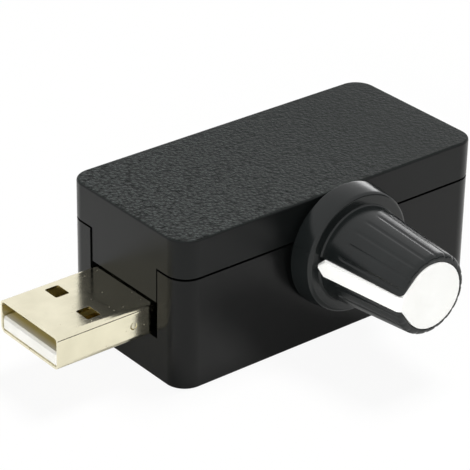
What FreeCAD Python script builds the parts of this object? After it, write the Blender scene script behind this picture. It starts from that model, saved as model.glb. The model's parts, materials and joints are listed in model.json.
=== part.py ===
import FreeCAD, Part
import math
import os
import re
import Sketcher

# USB fan speed controller: a two-shell box with a USB-A plug at one end, a USB-A socket at the other
# and a turning knob on its front face. All sizes are in millimetres.
# Frame: origin in the middle of the case's underside, +X towards the socket, -Y towards the knob, +Z up.
# The plug, the socket and the potentiometer stand on one circuit board, so its top face sets their heights.

sizes = {
    # case shells
    "caseLength": 48.0,
    "caseWidth": 23.0,
    "caseHeight": 20.5,
    "coverHeight": 5.1,
    "seamGap": 0.2,
    "wallThick": 1.6,
    "floorThick": 1.6,
    "roofThick": 1.6,
    "cornerRound": 2.8,
    "edgeRound": 0.5,
    "lipThick": 0.8,
    "lipGap": 0.1,
    "ledgeDrop": 1.4,
    "notchWidth": 13.7,
    "notchDrop": 0.15,
    "tongueSideGap": 0.12,
    "tongueSetback": 0.1,
    "tongueGap": 0.25,
    # snap beads on the cover's spigot
    "beadRound": 0.35,
    "beadLength": 8.0,
    "beadAcross": 14.0,
    "beadDrop": 0.7,
    "beadGap": 0.1,
    # posts that carry the board
    "postRound": 1.4,
    "postHeight": 2.65,
    "postInset": 4.0,
    "postBack": 7.9,
    "pinRound": 0.9,
    "pinRise": 0.4,
    "pinGap": 0.1,
    # circuit board
    "boardThick": 1.6,
    "boardGap": 0.3,
    "holeGap": 0.15,
    "tailBelow": 0.9,
    # USB-A plug
    "plugWidth": 12.0,
    "plugHeight": 4.5,
    "plugSheet": 0.3,
    "plugRound": 0.6,
    "plugReach": 14.0,
    "plugLength": 18.75,
    "plugSlit": 0.12,
    "windowInset": 5.4,
    "windowLength": 2.0,
    "windowMiddle": 3.25,
    "windowWidth": 2.5,
    "dimpleBack": 2.9,
    "dimpleRound": 0.5,
    "dimpleTab": 0.42,
    "dimpleShift": 0.14,
    "dimpleSunk": 0.08,
    "mouthDepth": 11.75,
    "insulatorThick": 1.95,
    "insulatorChamfer": 0.3,
    "insulatorGap": 0.05,
    # contacts of the plug and the socket
    "powerMiddle": 3.5,
    "dataMiddle": 1.0,
    "powerInset": 1.8,
    "dataInset": 2.8,
    "contactWidth": 1.0,
    "contactThick": 0.2,
    "contactProud": 0.05,
    "grooveGap": 0.05,
    "tailBack": 0.65,
    # USB-A socket
    "socketWidth": 13.1,
    "socketHeight": 5.7,
    "socketSheet": 0.3,
    "socketRound": 0.5,
    "socketLength": 14.0,
    "socketReach": 0.2,
    "socketTongueWidth": 11.1,
    "socketTongueThick": 1.84,
    "socketTongueLength": 8.88,
    "socketTongueLift": 2.6,
    "socketTongueInset": 3.0,
    "leafMiddle": 3.2,
    "leafWidth": 1.8,
    "leafLength": 5.0,
    "leafInset": 1.4,
    "leafSlit": 0.3,
    "leafBump": 0.3,
    # mounting lugs of the plug's and the socket's shells
    "lugWidth": 1.4,
    "lugInset": 0.6,
    "lugSpread": 7.0,
    # potentiometer
    "potAcross": 0.8,
    "knobDrop": 7.5,
    "potAboveAxis": 4.9,
    "potLift": 0.5,
    "potWidth": 9.6,
    "potDepth": 4.5,
    "potWall": 1.0,
    "plateThick": 0.8,
    "armThick": 0.5,
    "armDepth": 3.0,
    "cavityRound": 4.2,
    "bushRound": 3.5,
    "bushReach": 4.5,
    "threadPitch": 0.75,
    "threadDepth": 0.3,
    "bushHoleGap": 0.1,
    "fitGap": 0.02,
    "runningGap": 0.05,
    "washerRound": 5.4,
    "washerThick": 0.4,
    "nutFlats": 10.0,
    "nutThick": 1.8,
    "shaftRound": 3.0,
    "shaftReach": 15.0,
    "shaftStub": 1.5,
    "shaftChamfer": 0.5,
    "shaftSlot": 1.0,
    "shaftSlotDepth": 7.0,
    "knurlDepth": 0.2,
    "knurlReach": 9.0,
    "knurlCount": 18,
    "rotorRound": 3.8,
    "rotorThick": 1.2,
    "rotorGap": 0.2,
    "trackThick": 0.5,
    "trackGap": 0.1,
    "trackSlot": 1.5,
    "wiperThick": 0.15,
    "wiperRound": 3.4,
    "wiperEye": 1.8,
    "wiperFinger": 0.8,
    "terminalPitch": 2.5,
    "terminalWidth": 1.0,
    "terminalThick": 0.3,
    "terminalDeep": 2.8,
    "terminalRoot": 1.0,
    # knob
    "knobGap": 0.5,
    "knobHeight": 16.4,
    "skirtHeight": 3.2,
    "skirtBack": 8.35,
    "skirtFront": 7.95,
    "skirtRound": 0.3,
    "knobBase": 6.35,
    "baseRound": 0.4,
    "knobEnd": 5.25,
    "rimRound": 0.55,
    "knobClear": 0.3,
    "boreClear": 0.5,
    "fluteCount": 20,
    "fluteRound": 0.39,
    "fluteDepth": 0.14,
    "fluteStart": 2.7,
    # pointer cap
    "capRound": 4.3,
    "capDepth": 1.0,
    "capProud": 0.2,
    "capBevel": 0.25,
    "capGap": 0.05,
    "pegRound": 1.2,
    "pegLength": 0.9,
    "armWidth": 1.8,
    "armSunk": 0.8,
    "armBase": 7.1,
    "armHeel": 0.5,
    "armEnd": 5.45,
    "flareAngle": 42.0,
    "pointerTurn": 5.0,
    # timer chip
    "chipInset": 5.4,
    "chipLength": 4.9,
    "chipWidth": 3.9,
    "chipThick": 1.5,
    "chipLift": 0.15,
    "leadCount": 4,
    "leadPitch": 1.27,
    "leadWidth": 0.4,
    "leadThick": 0.2,
    "leadReach": 1.05,
    # power transistor
    "powerEdge": 0.9,
    "powerWidth": 6.6,
    "powerLength": 6.1,
    "powerThick": 1.8,
    "tabThick": 0.5,
    "tabWidth": 5.4,
    "tabReach": 1.0,
    "powerLeadPitch": 2.28,
    "powerLeadWidth": 0.8,
    # flyback diode
    "diodeLength": 2.8,
    "diodeWidth": 1.8,
    "diodeThick": 1.2,
    "diodeLift": 0.2,
    "diodeStrap": 1.0,
    # electrolytic capacitors
    "canInset": 1.4,
    "canRound": 3.0,
    "canHeight": 6.6,
    "canCrimp": 0.25,
    "canBaseThick": 0.9,
    "canBaseWidth": 6.4,
    "canFootWidth": 0.9,
    "canFootReach": 0.6,
    # chip resistors and chip capacitors
    "resistorCount": 3,
    "chipCapCount": 2,
    "rowInset": 1.9,
    "rowStep": 2.9,
    "smallLength": 1.2,
    "smallWidth": 1.25,
    "smallThick": 0.5,
    "smallEnd": 0.4,
}

# heights and places that several pieces share, written once
boardTop = "(floorThick + postHeight + boardThick)"
boardBottom = "(floorThick + postHeight)"
tailBottom = f"({boardBottom} - tailBelow)"
coverBottom = "(caseHeight - coverHeight)"
seamHeight = f"({coverBottom} - seamGap)"
ledgeTop = f"({seamHeight} - ledgeDrop)"
roofBottom = "(caseHeight - roofThick)"
insideBox = ("caseLength - 2 * wallThick", "caseWidth - 2 * wallThick", "cornerRound - wallThick")
lipBox = ("caseLength - 2 * lipThick", "caseWidth - 2 * lipThick", "cornerRound - lipThick")
spigotSet = "(lipThick + lipGap)"
spigotBox = (
    f"caseLength - 2 * {spigotSet}", f"caseWidth - 2 * {spigotSet}", f"cornerRound - {spigotSet}")
frontInside = "(wallThick - caseWidth / 2)"
insideGap = "(wallThick + boardGap)"
boardRear = f"(caseWidth / 2 - {insideGap})"
slotHalf = "(bushRound + bushHoleGap)"
slotFace = "caseWidth / 2 - wallThick - lipGap"
plugTip = "(-caseLength / 2 - plugReach)"
plugBack = f"({plugTip} + plugLength)"
plugMiddle = f"({boardTop} + plugHeight / 2)"
insulatorTop = f"({boardTop} + plugSheet + insulatorThick)"
plugContactLow = f"({insulatorTop} - contactThick - contactProud)"
socketMouth = "(caseLength / 2 + socketReach)"
socketBack = f"({socketMouth} - socketLength)"
socketMiddle = f"({boardTop} + socketHeight / 2)"
socketFloor = f"({boardTop} + socketSheet)"
socketCeiling = f"({boardTop} + socketHeight - socketSheet)"
socketTongueLow = f"({socketFloor} + socketTongueLift)"
socketTongueTip = f"({socketMouth} - socketTongueInset)"
socketTongueRoot = f"({socketTongueTip} - socketTongueLength)"
socketContactLow = f"({socketTongueLow} - contactProud)"
knobAxis = "(caseHeight - knobDrop)"
potAxisHeight = f"({knobAxis} - {boardTop})"
postAcross = "(caseLength / 2 - postInset)"

# distances along the knob's axis, counted outwards from the potentiometer's mounting face
potBottom = f"(potLift - {potAxisHeight})"
potTailBottom = f"(-{potAxisHeight} - boardThick - tailBelow)"
cavityFloor = "(-plateThick - potDepth + potWall)"
rotorTop = "(-plateThick - rotorGap)"
rotorBottom = f"({rotorTop} - rotorThick)"
trackTop = f"({cavityFloor} + trackThick)"
nutTop = "(wallThick + washerThick + nutThick)"
nutCorner = "(nutFlats / 2 / cos(30))"
knobBack = "(wallThick + knobGap)"
skirtTop = f"({knobBack} + skirtHeight)"
knobTop = f"({knobBack} + knobHeight)"
capFloor = f"({knobTop} - capDepth)"
capTop = f"({knobTop} + capProud)"
knobTaper = "((knobBase - knobEnd) / (knobHeight - skirtHeight))"

document = FreeCAD.newDocument("FanSpeedController")
sheet = document.addObject("Spreadsheet::Sheet", "Sizes")
for row, (name, number) in enumerate(sizes.items(), start=1):
    sheet.set(f"A{row}", name)
    sheet.set(f"B{row}", str(number))
    sheet.setAlias(f"B{row}", name)
document.recompute()

parts = []
closeBy = 1e-3  # how near an edge lies to where it is looked for


def sized(expression):
    # the same expression, with each size read from the sheet
    def inSheet(word):
        return f"Sizes.{word[0]}" if word[0] in sizes else word[0]
    return re.sub(r"[A-Za-z]\w*", inSheet, expression)


def value(expression):
    return float(sheet.evalExpression(sized(expression)))


def bind(thing, settings):
    for setting, expression in settings.items():
        thing.setExpression(setting, sized(expression))


def newBody(name):
    body = document.addObject("PartDesign::Body", name)
    body.Label = name
    parts.append(body)
    return body


def onKnobAxis(body, turn="0"):
    # puts a piece that is drawn upright on the mounting face's centre, with its top towards the knob;
    # turn moves it round the axis, clockwise as the knob is looked at
    outwards = FreeCAD.Rotation(FreeCAD.Vector(1, 0, 0), 90)
    aboutAxis = FreeCAD.Rotation(FreeCAD.Vector(0, 0, 1), -value(turn))
    body.Placement = FreeCAD.Placement(FreeCAD.Vector(), outwards.multiply(aboutAxis))
    bind(body, {
        "Placement.Base.x": "potAcross",
        "Placement.Base.y": frontInside,
        "Placement.Base.z": knobAxis,
    })
    return body


def originOf(body, role):
    return next(item for item in body.Origin.OriginFeatures if item.Role == role)


def sketchOn(body, plane, offset="0"):
    # XY_Plane looks up, XZ_Plane towards the knob and YZ_Plane towards the socket; offset is along that
    sketch = body.newObject("Sketcher::SketchObject", f"{body.Name}_sketch")
    sketch.AttachmentSupport = (originOf(body, plane), [""])
    sketch.MapMode = "FlatFace"
    bind(sketch, {".AttachmentOffset.Base.z": offset})
    return sketch


def hold(sketch, kind, edge, end, place):
    constraint = Sketcher.Constraint(kind, -1, 1, edge, end, value(place))
    bind(sketch, {f"Constraints[{sketch.addConstraint(constraint)}]": place})


def holdRadius(sketch, edge, radius):
    constraint = Sketcher.Constraint("Radius", edge, value(radius))
    bind(sketch, {f"Constraints[{sketch.addConstraint(constraint)}]": radius})


def polygon(sketch, corners):
    first = sketch.GeometryCount
    points = [FreeCAD.Vector(value(across), value(up), 0) for across, up in corners]
    for point, following in zip(points, points[1:] + points[:1]):
        sketch.addGeometry(Part.LineSegment(point, following))
    for index, (across, up) in enumerate(corners):
        following = first + (index + 1) % len(corners)
        sketch.addConstraint(Sketcher.Constraint("Coincident", first + index, 2, following, 1))
        hold(sketch, "DistanceX", first + index, 1, across)
        hold(sketch, "DistanceY", first + index, 1, up)


def around(middle, width):
    # the two limits of a width that is centred on middle
    return f"{middle} - ({width}) / 2", f"{middle} + ({width}) / 2"


def rectangle(sketch, left, right, low, high):
    polygon(sketch, [(left, low), (right, low), (right, high), (left, high)])


def circle(sketch, radius, across="0", up="0"):
    centre = FreeCAD.Vector(value(across), value(up), 0)
    edge = sketch.addGeometry(Part.Circle(centre, FreeCAD.Vector(0, 0, 1), value(radius)))
    holdRadius(sketch, edge, radius)
    hold(sketch, "DistanceX", edge, 3, across)
    hold(sketch, "DistanceY", edge, 3, up)


def roundedRectangle(sketch, width, height, radius, middle="0"):
    # four quarter arcs joined by four sides, centred on the sketch's upright axis at the height middle
    wide, tall, corner, level = (value(item) for item in (width, height, radius, middle))
    first = sketch.GeometryCount
    arcs = []
    for turn, (side, end) in enumerate([(1, -1), (1, 1), (-1, 1), (-1, -1)]):
        centre = FreeCAD.Vector(side * (wide / 2 - corner), level + end * (tall / 2 - corner), 0)
        ring = Part.Circle(centre, FreeCAD.Vector(0, 0, 1), corner)
        arcs.append(Part.ArcOfCircle(ring, (turn - 1) * math.pi / 2, turn * math.pi / 2))
        holdRadius(sketch, sketch.addGeometry(arcs[-1]), radius)
    sides = []
    for arc, following in zip(arcs, arcs[1:] + arcs[:1]):
        sides.append(sketch.addGeometry(Part.LineSegment(arc.EndPoint, following.StartPoint)))
    for turn, (side, kind) in enumerate(zip(sides, ("Vertical", "Horizontal") * 2)):
        following = first + (turn + 1) % len(arcs)
        sketch.addConstraint(Sketcher.Constraint("Tangent", first + turn, 2, side, 1))
        sketch.addConstraint(Sketcher.Constraint("Tangent", side, 2, following, 1))
        sketch.addConstraint(Sketcher.Constraint(kind, side))
    right, top, left, bottom = sides
    hold(sketch, "DistanceX", right, 1, f"({width}) / 2")
    hold(sketch, "DistanceY", top, 1, f"({middle}) + ({height}) / 2")
    hold(sketch, "DistanceX", left, 1, f"-({width}) / 2")
    hold(sketch, "DistanceY", bottom, 1, f"({middle}) - ({height}) / 2")


def pad(sketch, length, both=False):
    body = sketch.getParentGeoFeatureGroup()
    feature = body.newObject("PartDesign::Pad", f"{body.Name}_pad")
    feature.Profile = sketch
    feature.SideType = "Symmetric" if both else "One side"
    bind(feature, {"Length": length})
    document.recompute()


def pocket(sketch, length, both=False):
    # cuts the way the sketch looks, or to both sides of it, and makes sure that something went
    body = sketch.getParentGeoFeatureGroup()
    before = body.Tip.Shape.Volume
    feature = body.newObject("PartDesign::Pocket", f"{body.Name}_pocket")
    feature.Profile = sketch
    feature.Reversed = not both
    feature.SideType = "Symmetric" if both else "One side"
    bind(feature, {"Length": length})
    document.recompute()
    checkCut(body, before)


def checkCut(body, before):
    if body.Tip.Shape.Volume > before - closeBy:
        raise RuntimeError(f"{body.Tip.Name} cuts nothing")


def revolve(body, corners):
    # a piece of revolution on the body's upright axis, from corners given as distance from it and height
    sketch = sketchOn(body, "XZ_Plane")
    polygon(sketch, corners)
    feature = body.newObject("PartDesign::Revolution", f"{body.Name}_turn")
    feature.Profile = sketch
    feature.ReferenceAxis = (sketch, ["V_Axis"])
    feature.Angle = 360
    document.recompute()


def turned(name, corners, turn="0"):
    body = onKnobAxis(newBody(name), turn)
    revolve(body, corners)
    return body


def dressEdges(body, kind, size, chosen):
    # rounds or bevels the edges of the body so far for which chosen is true
    base = body.Tip
    names = [f"Edge{index}" for index, edge in enumerate(base.Shape.Edges, start=1) if chosen(edge)]
    if not names:
        raise RuntimeError(f"{body.Name} has no such edge")
    feature = body.newObject(f"PartDesign::{kind}", f"{body.Name}_{kind.lower()}")
    feature.Base = (base, names)
    bind(feature, {"Radius" if kind == "Fillet" else "Size": size})
    document.recompute()


def repeatRound(body, feature, count):
    # repeats the last cut all round the body's upright axis
    pattern = body.newObject("PartDesign::PolarPattern", f"{body.Name}_pattern")
    pattern.Originals = [feature]
    pattern.Axis = (originOf(body, "Z_Axis"), [""])
    pattern.Angle = 360
    bind(pattern, {"Occurrences": count})
    body.Tip = pattern
    document.recompute()


def liesAt(height):
    # true for an edge that lies wholly in the level plane at that height
    level = value(height)

    def inPlane(edge):
        return abs(edge.BoundBox.ZMin - level) < closeBy and abs(edge.BoundBox.ZMax - level) < closeBy
    return inPlane


def ringAt(radius, height):
    # true for a whole circle of that radius at that height up the body's own axis
    level = liesAt(height)
    reach = value(radius)
    return lambda edge: level(edge) and abs(edge.BoundBox.XLength / 2 - reach) < closeBy


def block(name, left, right, front, back, low, high):
    box = document.addObject("Part::Box", name)
    box.Label = name
    bind(box, {
        "Length": f"({right}) - ({left})",
        "Width": f"({back}) - ({front})",
        "Height": f"({high}) - ({low})",
        "Placement.Base.x": left,
        "Placement.Base.y": front,
        "Placement.Base.z": low,
    })
    return box


def group(name, members):
    # identical small pieces that share a node and stay separate solids
    compound = document.addObject("Part::Compound", name)
    compound.Label = name
    compound.Links = members
    parts.append(compound)


# Bottom case: an open box with a thin outer lip, end notches for the plug and the socket, and four posts
bottomCase = newBody("bottom_case")
sketch = sketchOn(bottomCase, "XY_Plane")
roundedRectangle(sketch, "caseLength", "caseWidth", "cornerRound")
pad(sketch, seamHeight)
dressEdges(bottomCase, "Fillet", "edgeRound", liesAt("0"))
sketch = sketchOn(bottomCase, "XY_Plane", "floorThick")
roundedRectangle(sketch, *insideBox)
pocket(sketch, seamHeight)
sketch = sketchOn(bottomCase, "XY_Plane", ledgeTop)
roundedRectangle(sketch, *lipBox)
pocket(sketch, seamHeight)
sketch = sketchOn(bottomCase, "YZ_Plane")
rectangle(sketch, *around("0", "notchWidth"), f"{boardTop} - notchDrop", "caseHeight")
pocket(sketch, "2 * caseLength", both=True)
sketch = sketchOn(bottomCase, "XZ_Plane", slotFace)
circle(sketch, slotHalf, "potAcross", knobAxis)
pocket(sketch, "2 * wallThick")
sketch = sketchOn(bottomCase, "XZ_Plane", slotFace)
rectangle(sketch, *around("potAcross", f"2 * {slotHalf}"), knobAxis, "caseHeight")
pocket(sketch, "2 * wallThick")
for side in (-1, 1):
    for front in (-1, 1):
        sketch = sketchOn(bottomCase, "XY_Plane", "floorThick")
        circle(sketch, "postRound", f"{side} * {postAcross}", f"{front} * postBack")
        pad(sketch, "postHeight")
        sketch = sketchOn(bottomCase, "XY_Plane", boardBottom)
        circle(sketch, "pinRound", f"{side} * {postAcross}", f"{front} * postBack")
        pad(sketch, "boardThick + pinRise")
beadHeight = f"{seamHeight} - beadDrop"
for side in (-1, 1):
    sketch = sketchOn(bottomCase, "YZ_Plane", f"{side} * beadAcross")
    for front in (-1, 1):
        circle(sketch, "beadRound + beadGap", f"{front} * (caseWidth / 2 - {spigotSet})", beadHeight)
    pocket(sketch, "beadLength + 2 * beadGap", both=True)

# Top cover: a shallow lid whose spigot stands on the ledge inside the lip, with a tongue over each notch
topCover = newBody("top_cover")
sketch = sketchOn(topCover, "XY_Plane", coverBottom)
roundedRectangle(sketch, "caseLength", "caseWidth", "cornerRound")
pad(sketch, f"caseHeight - {coverBottom}")
dressEdges(topCover, "Fillet", "edgeRound", liesAt("caseHeight"))
sketch = sketchOn(topCover, "XY_Plane", coverBottom)
roundedRectangle(sketch, *insideBox)
pocket(sketch, f"{roofBottom} - {coverBottom}")
sketch = sketchOn(topCover, "XY_Plane", ledgeTop)
roundedRectangle(sketch, *spigotBox)
roundedRectangle(sketch, *insideBox)
pad(sketch, f"{coverBottom} - {ledgeTop}")
for side, top in ((-1, f"({boardTop} + plugHeight)"), (1, f"({boardTop} + socketHeight)")):
    outer = f"{side} * (caseLength / 2 - tongueSetback)"
    inner = f"{side} * (caseLength / 2 - wallThick)"
    sketch = sketchOn(topCover, "YZ_Plane", outer if side < 0 else inner)
    rectangle(sketch, *around("0", "notchWidth - 2 * tongueSideGap"), f"{top} + tongueGap", coverBottom)
    pad(sketch, "wallThick - tongueSetback")
sketch = sketchOn(topCover, "XZ_Plane", "caseWidth / 2 - wallThick")
rectangle(sketch, *around("potAcross", f"2 * ({slotHalf} - tongueSideGap)"), ledgeTop, coverBottom)
pad(sketch, "wallThick - tongueSetback")
for side in (-1, 1):
    sketch = sketchOn(topCover, "YZ_Plane", f"{side} * beadAcross")
    for front in (-1, 1):
        circle(sketch, "beadRound", f"{front} * (caseWidth / 2 - {spigotSet})", beadHeight)
    pad(sketch, "beadLength", both=True)
sketch = sketchOn(topCover, "XZ_Plane", "caseWidth / 2 - 2 * wallThick")
circle(sketch, slotHalf, "potAcross", knobAxis)
pocket(sketch, "3 * wallThick")

# USB-A plug shell: a folded box section with two windows in each broad face, a slit along its fold and a
# half-punched tab in each narrow face, held at the case's side and free along a crescent towards the tip
plugShell = newBody("plug_shell")
plugInside = ("(plugWidth - 2 * plugSheet)", "(plugHeight - 2 * plugSheet)")
sketch = sketchOn(plugShell, "YZ_Plane", plugTip)
roundedRectangle(sketch, "plugWidth", "plugHeight", "plugRound", plugMiddle)
roundedRectangle(sketch, *plugInside, "plugRound - plugSheet", plugMiddle)
pad(sketch, "plugLength")
sketch = sketchOn(plugShell, "XY_Plane", f"{boardTop} - plugSheet")
windowStart = f"{plugTip} + windowInset"
for front in (-1, 1):
    rectangle(sketch, windowStart, f"{windowStart} + windowLength",
              *around(f"{front} * windowMiddle", "windowWidth"))
pocket(sketch, "2 * plugHeight")
dimpleAcross = "-caseLength / 2 - dimpleBack"
sketch = sketchOn(plugShell, "XZ_Plane")
circle(sketch, "dimpleRound", dimpleAcross, plugMiddle)
pocket(sketch, "2 * plugWidth", both=True)
for wall in ("plugWidth / 2 - plugSheet", "-plugWidth / 2 + dimpleSunk"):
    sketch = sketchOn(plugShell, "XZ_Plane", wall)
    circle(sketch, "dimpleTab", f"{dimpleAcross} + dimpleShift", plugMiddle)
    pad(sketch, "plugSheet - dimpleSunk")
sketch = sketchOn(plugShell, "XY_Plane", f"{boardTop} - plugSheet")
rectangle(sketch, plugTip, plugBack, *around("0", "plugSlit"))
pocket(sketch, "3 * plugSheet")
for wall in ("plugWidth / 2 - plugSheet", "-plugWidth / 2"):
    sketch = sketchOn(plugShell, "XZ_Plane", wall)
    lugEnd = f"{plugBack} - lugInset"
    rectangle(sketch, f"{lugEnd} - lugWidth", lugEnd, tailBottom, plugMiddle)
    pad(sketch, "plugSheet")

# Plug insulator: the white slab in the lower half of the mouth, with the block behind it
plugInsulator = newBody("plug_insulator")
plugCorner = "(plugRound - plugSheet + insulatorGap)"
slabMiddle = f"({insulatorTop} - insulatorThick / 2)"
sketch = sketchOn(plugInsulator, "YZ_Plane", plugTip)
roundedRectangle(sketch, plugInside[0], "insulatorThick", plugCorner, slabMiddle)
pad(sketch, "plugLength")
dressEdges(plugInsulator, "Chamfer", "insulatorChamfer", lambda edge: (
    edge.BoundBox.XMax < value(plugTip) + closeBy and edge.BoundBox.ZMin > value(insulatorTop) - closeBy))
sketch = sketchOn(plugInsulator, "YZ_Plane", f"{plugTip} + mouthDepth")
roundedRectangle(sketch, *plugInside, plugCorner, plugMiddle)
pad(sketch, "plugLength - mouthDepth")
contactPlaces = [("powerMiddle", "powerInset"), ("dataMiddle", "dataInset")]
contactRow = [(f"-{middle}", inset) for middle, inset in contactPlaces]
contactRow += [(middle, inset) for middle, inset in reversed(contactPlaces)]
grooveWidth = "contactWidth + 2 * grooveGap"
for middle, inset in contactRow:
    sketch = sketchOn(plugInsulator, "YZ_Plane", f"{plugTip} + {inset} - grooveGap")
    rectangle(sketch, *around(middle, grooveWidth), plugContactLow, insulatorTop)
    pocket(sketch, "plugLength")

# Plug contacts: strips that lie in the grooves, leave the block and turn down through the board
for number, (middle, inset) in enumerate(contactRow, start=1):
    contact = newBody(f"plug_contact_{number}")
    sketch = sketchOn(contact, "XZ_Plane", f"-({middle})")
    high = f"{plugContactLow} + contactThick"
    tail = f"{plugBack} + tailBack"
    polygon(sketch, [
        (f"{plugTip} + {inset}", plugContactLow), (f"{tail} - contactThick", plugContactLow),
        (f"{tail} - contactThick", tailBottom), (tail, tailBottom), (tail, high),
        (f"{plugTip} + {inset}", high),
    ])
    pad(sketch, "contactWidth", both=True)

# USB-A socket shell: a box section open at the mouth, with two spring leaves in each broad face
socketShell = newBody("socket_shell")
socketInside = ("socketWidth - 2 * socketSheet", "socketHeight - 2 * socketSheet")
sketch = sketchOn(socketShell, "YZ_Plane", socketBack)
roundedRectangle(sketch, "socketWidth", "socketHeight", "socketRound", socketMiddle)
roundedRectangle(sketch, *socketInside, "socketRound - socketSheet", socketMiddle)
pad(sketch, "socketLength")
leafTip = f"({socketMouth} - leafInset)"
leafRoot = f"({leafTip} - leafLength)"
slitEnd = f"({leafTip} + leafSlit)"
sketch = sketchOn(socketShell, "XY_Plane", f"{boardTop} - socketSheet")
for front in (-1, 1):
    inside = around(f"{front} * leafMiddle", "leafWidth")
    outside = [f"{inside[0]} - leafSlit", f"{inside[1]} + leafSlit"]
    polygon(sketch, [
        (leafRoot, outside[0]), (slitEnd, outside[0]), (slitEnd, outside[1]), (leafRoot, outside[1]),
        (leafRoot, inside[1]), (leafTip, inside[1]), (leafTip, inside[0]), (leafRoot, inside[0]),
    ])
pocket(sketch, "2 * socketHeight")
for front in (-1, 1):
    for wall, bump in ((socketCeiling, "-leafBump"), (socketFloor, "leafBump")):
        sketch = sketchOn(socketShell, "XZ_Plane", f"{front} * leafMiddle")
        crest = (f"{leafTip} - leafLength / 5", f"{wall} + {bump}")
        polygon(sketch, [(f"{leafTip} - leafLength / 2", wall), (leafTip, wall), crest])
        pad(sketch, "leafWidth", both=True)
for wall in ("socketWidth / 2 - socketSheet", "-socketWidth / 2"):
    for lug in ("0", "lugSpread"):
        sketch = sketchOn(socketShell, "XZ_Plane", wall)
        left = f"{socketBack} + lugInset + {lug}"
        rectangle(sketch, left, f"{left} + lugWidth", tailBottom, socketMiddle)
        pad(sketch, "socketSheet")

# Socket insulator: a block that closes the shell's back, with the tongue that the fan's plug slides over
socketInsulator = newBody("socket_insulator")
sketch = sketchOn(socketInsulator, "YZ_Plane", socketBack)
roundedRectangle(sketch, *socketInside, "socketRound - socketSheet + insulatorGap", socketMiddle)
pad(sketch, f"{socketTongueRoot} - {socketBack}")
sketch = sketchOn(socketInsulator, "YZ_Plane", socketBack)
rectangle(sketch, *around("0", "socketTongueWidth"),
          socketTongueLow, f"{socketTongueLow} + socketTongueThick")
pad(sketch, f"{socketTongueTip} - {socketBack}")
dressEdges(socketInsulator, "Chamfer", "insulatorChamfer", lambda edge: (
    edge.BoundBox.XMin > value(socketTongueTip) - closeBy and edge.BoundBox.ZLength < closeBy))
for middle, inset in contactRow:
    start = f"({socketBack} - grooveGap)"
    sketch = sketchOn(socketInsulator, "YZ_Plane", start)
    rectangle(sketch, *around(middle, grooveWidth),
              f"{socketContactLow} - grooveGap", f"{socketContactLow} + contactThick")
    pocket(sketch, f"{socketTongueTip} - {inset} / 2 + grooveGap - {start}")

# Socket contacts: strips in the tongue's underside that leave the block and turn down through the board
for number, (middle, inset) in enumerate(contactRow, start=1):
    contact = newBody(f"socket_contact_{number}")
    sketch = sketchOn(contact, "XZ_Plane", f"-({middle})")
    low = socketContactLow
    high = f"{socketContactLow} + contactThick"
    tip = f"{socketTongueTip} - {inset} / 2"
    tail = f"{socketBack} - tailBack"
    polygon(sketch, [
        (tip, high), (tail, high), (tail, tailBottom), (f"{tail} + contactThick", tailBottom),
        (f"{tail} + contactThick", low), (tip, low),
    ])
    pad(sketch, "contactWidth", both=True)

# Potentiometer frame: the front plate with its mounting hole and an arm down each side to the board
potFrame = onKnobAxis(newBody("pot_frame"))
sketch = sketchOn(potFrame, "XY_Plane", "-plateThick")
armOut = "(potWidth / 2 + armThick)"
rectangle(sketch, f"-{armOut}", armOut, potBottom, "potAboveAxis")
circle(sketch, "bushRound + fitGap")
pad(sketch, "plateThick")
for side in (-1, 1):
    arm = (f"{side} * potWidth / 2", f"{side} * {armOut}")
    sketch = sketchOn(potFrame, "XY_Plane", "-plateThick - armDepth")
    rectangle(sketch, *arm, potBottom, "0")
    pad(sketch, "armDepth")
    sketch = sketchOn(potFrame, "XY_Plane", "-plateThick - armDepth")
    rectangle(sketch, *arm, potTailBottom, potBottom)
    pad(sketch, "armDepth - plateThick")

# Potentiometer body: a moulded cup that holds the track and closes against the front plate
potBody = onKnobAxis(newBody("pot_body"))
sketch = sketchOn(potBody, "XY_Plane", "-plateThick - potDepth")
rectangle(sketch, *around("0", "potWidth"), potBottom, "potAboveAxis")
pad(sketch, "potDepth")
sketch = sketchOn(potBody, "XY_Plane", cavityFloor)
circle(sketch, "cavityRound")
pocket(sketch, "potDepth - potWall")
terminalPlaces = ["-terminalPitch", "0", "terminalPitch"]
terminalBack = "(-plateThick - terminalDeep)"
terminalTop = f"({potBottom} + terminalRoot)"
for place in terminalPlaces:
    sketch = sketchOn(potBody, "XY_Plane", f"{terminalBack} - fitGap")
    rectangle(sketch, *around(place, "terminalWidth + 2 * fitGap"), potBottom, terminalTop)
    pocket(sketch, "terminalThick + 2 * fitGap")

for number, place in enumerate(terminalPlaces, start=1):
    terminal = onKnobAxis(newBody(f"pot_terminal_{number}"))
    sketch = sketchOn(terminal, "XY_Plane", terminalBack)
    rectangle(sketch, *around(place, "terminalWidth"), potTailBottom, terminalTop)
    pad(sketch, "terminalThick")

# Threaded bushing: it passes through the front plate and the case wall and takes the nut
threadCount = int(value("(bushReach - wallThick) / threadPitch"))
outline = [("shaftRound + runningGap", "-plateThick"), ("bushRound", "-plateThick")]
for turn in range(threadCount):
    outline.append(("bushRound", f"bushReach - {threadCount - turn} * threadPitch"))
    outline.append(("bushRound - threadDepth", f"bushReach - {threadCount - turn - 0.5} * threadPitch"))
outline += [("bushRound", "bushReach"), ("shaftRound + runningGap", "bushReach")]
turned("pot_bushing", outline)

turned("pot_washer", [
    ("bushRound + fitGap", "wallThick"), ("washerRound", "wallThick"),
    ("washerRound", "wallThick + washerThick"), ("bushRound + fitGap", "wallThick + washerThick"),
])

potNut = onKnobAxis(newBody("pot_nut"))
sketch = sketchOn(potNut, "XY_Plane", "wallThick + washerThick")
corners = range(0, 360, 60)
polygon(sketch, [(f"{nutCorner} * cos({angle})", f"{nutCorner} * sin({angle})") for angle in corners])
circle(sketch, "bushRound + fitGap")
pad(sketch, "nutThick")

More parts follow.
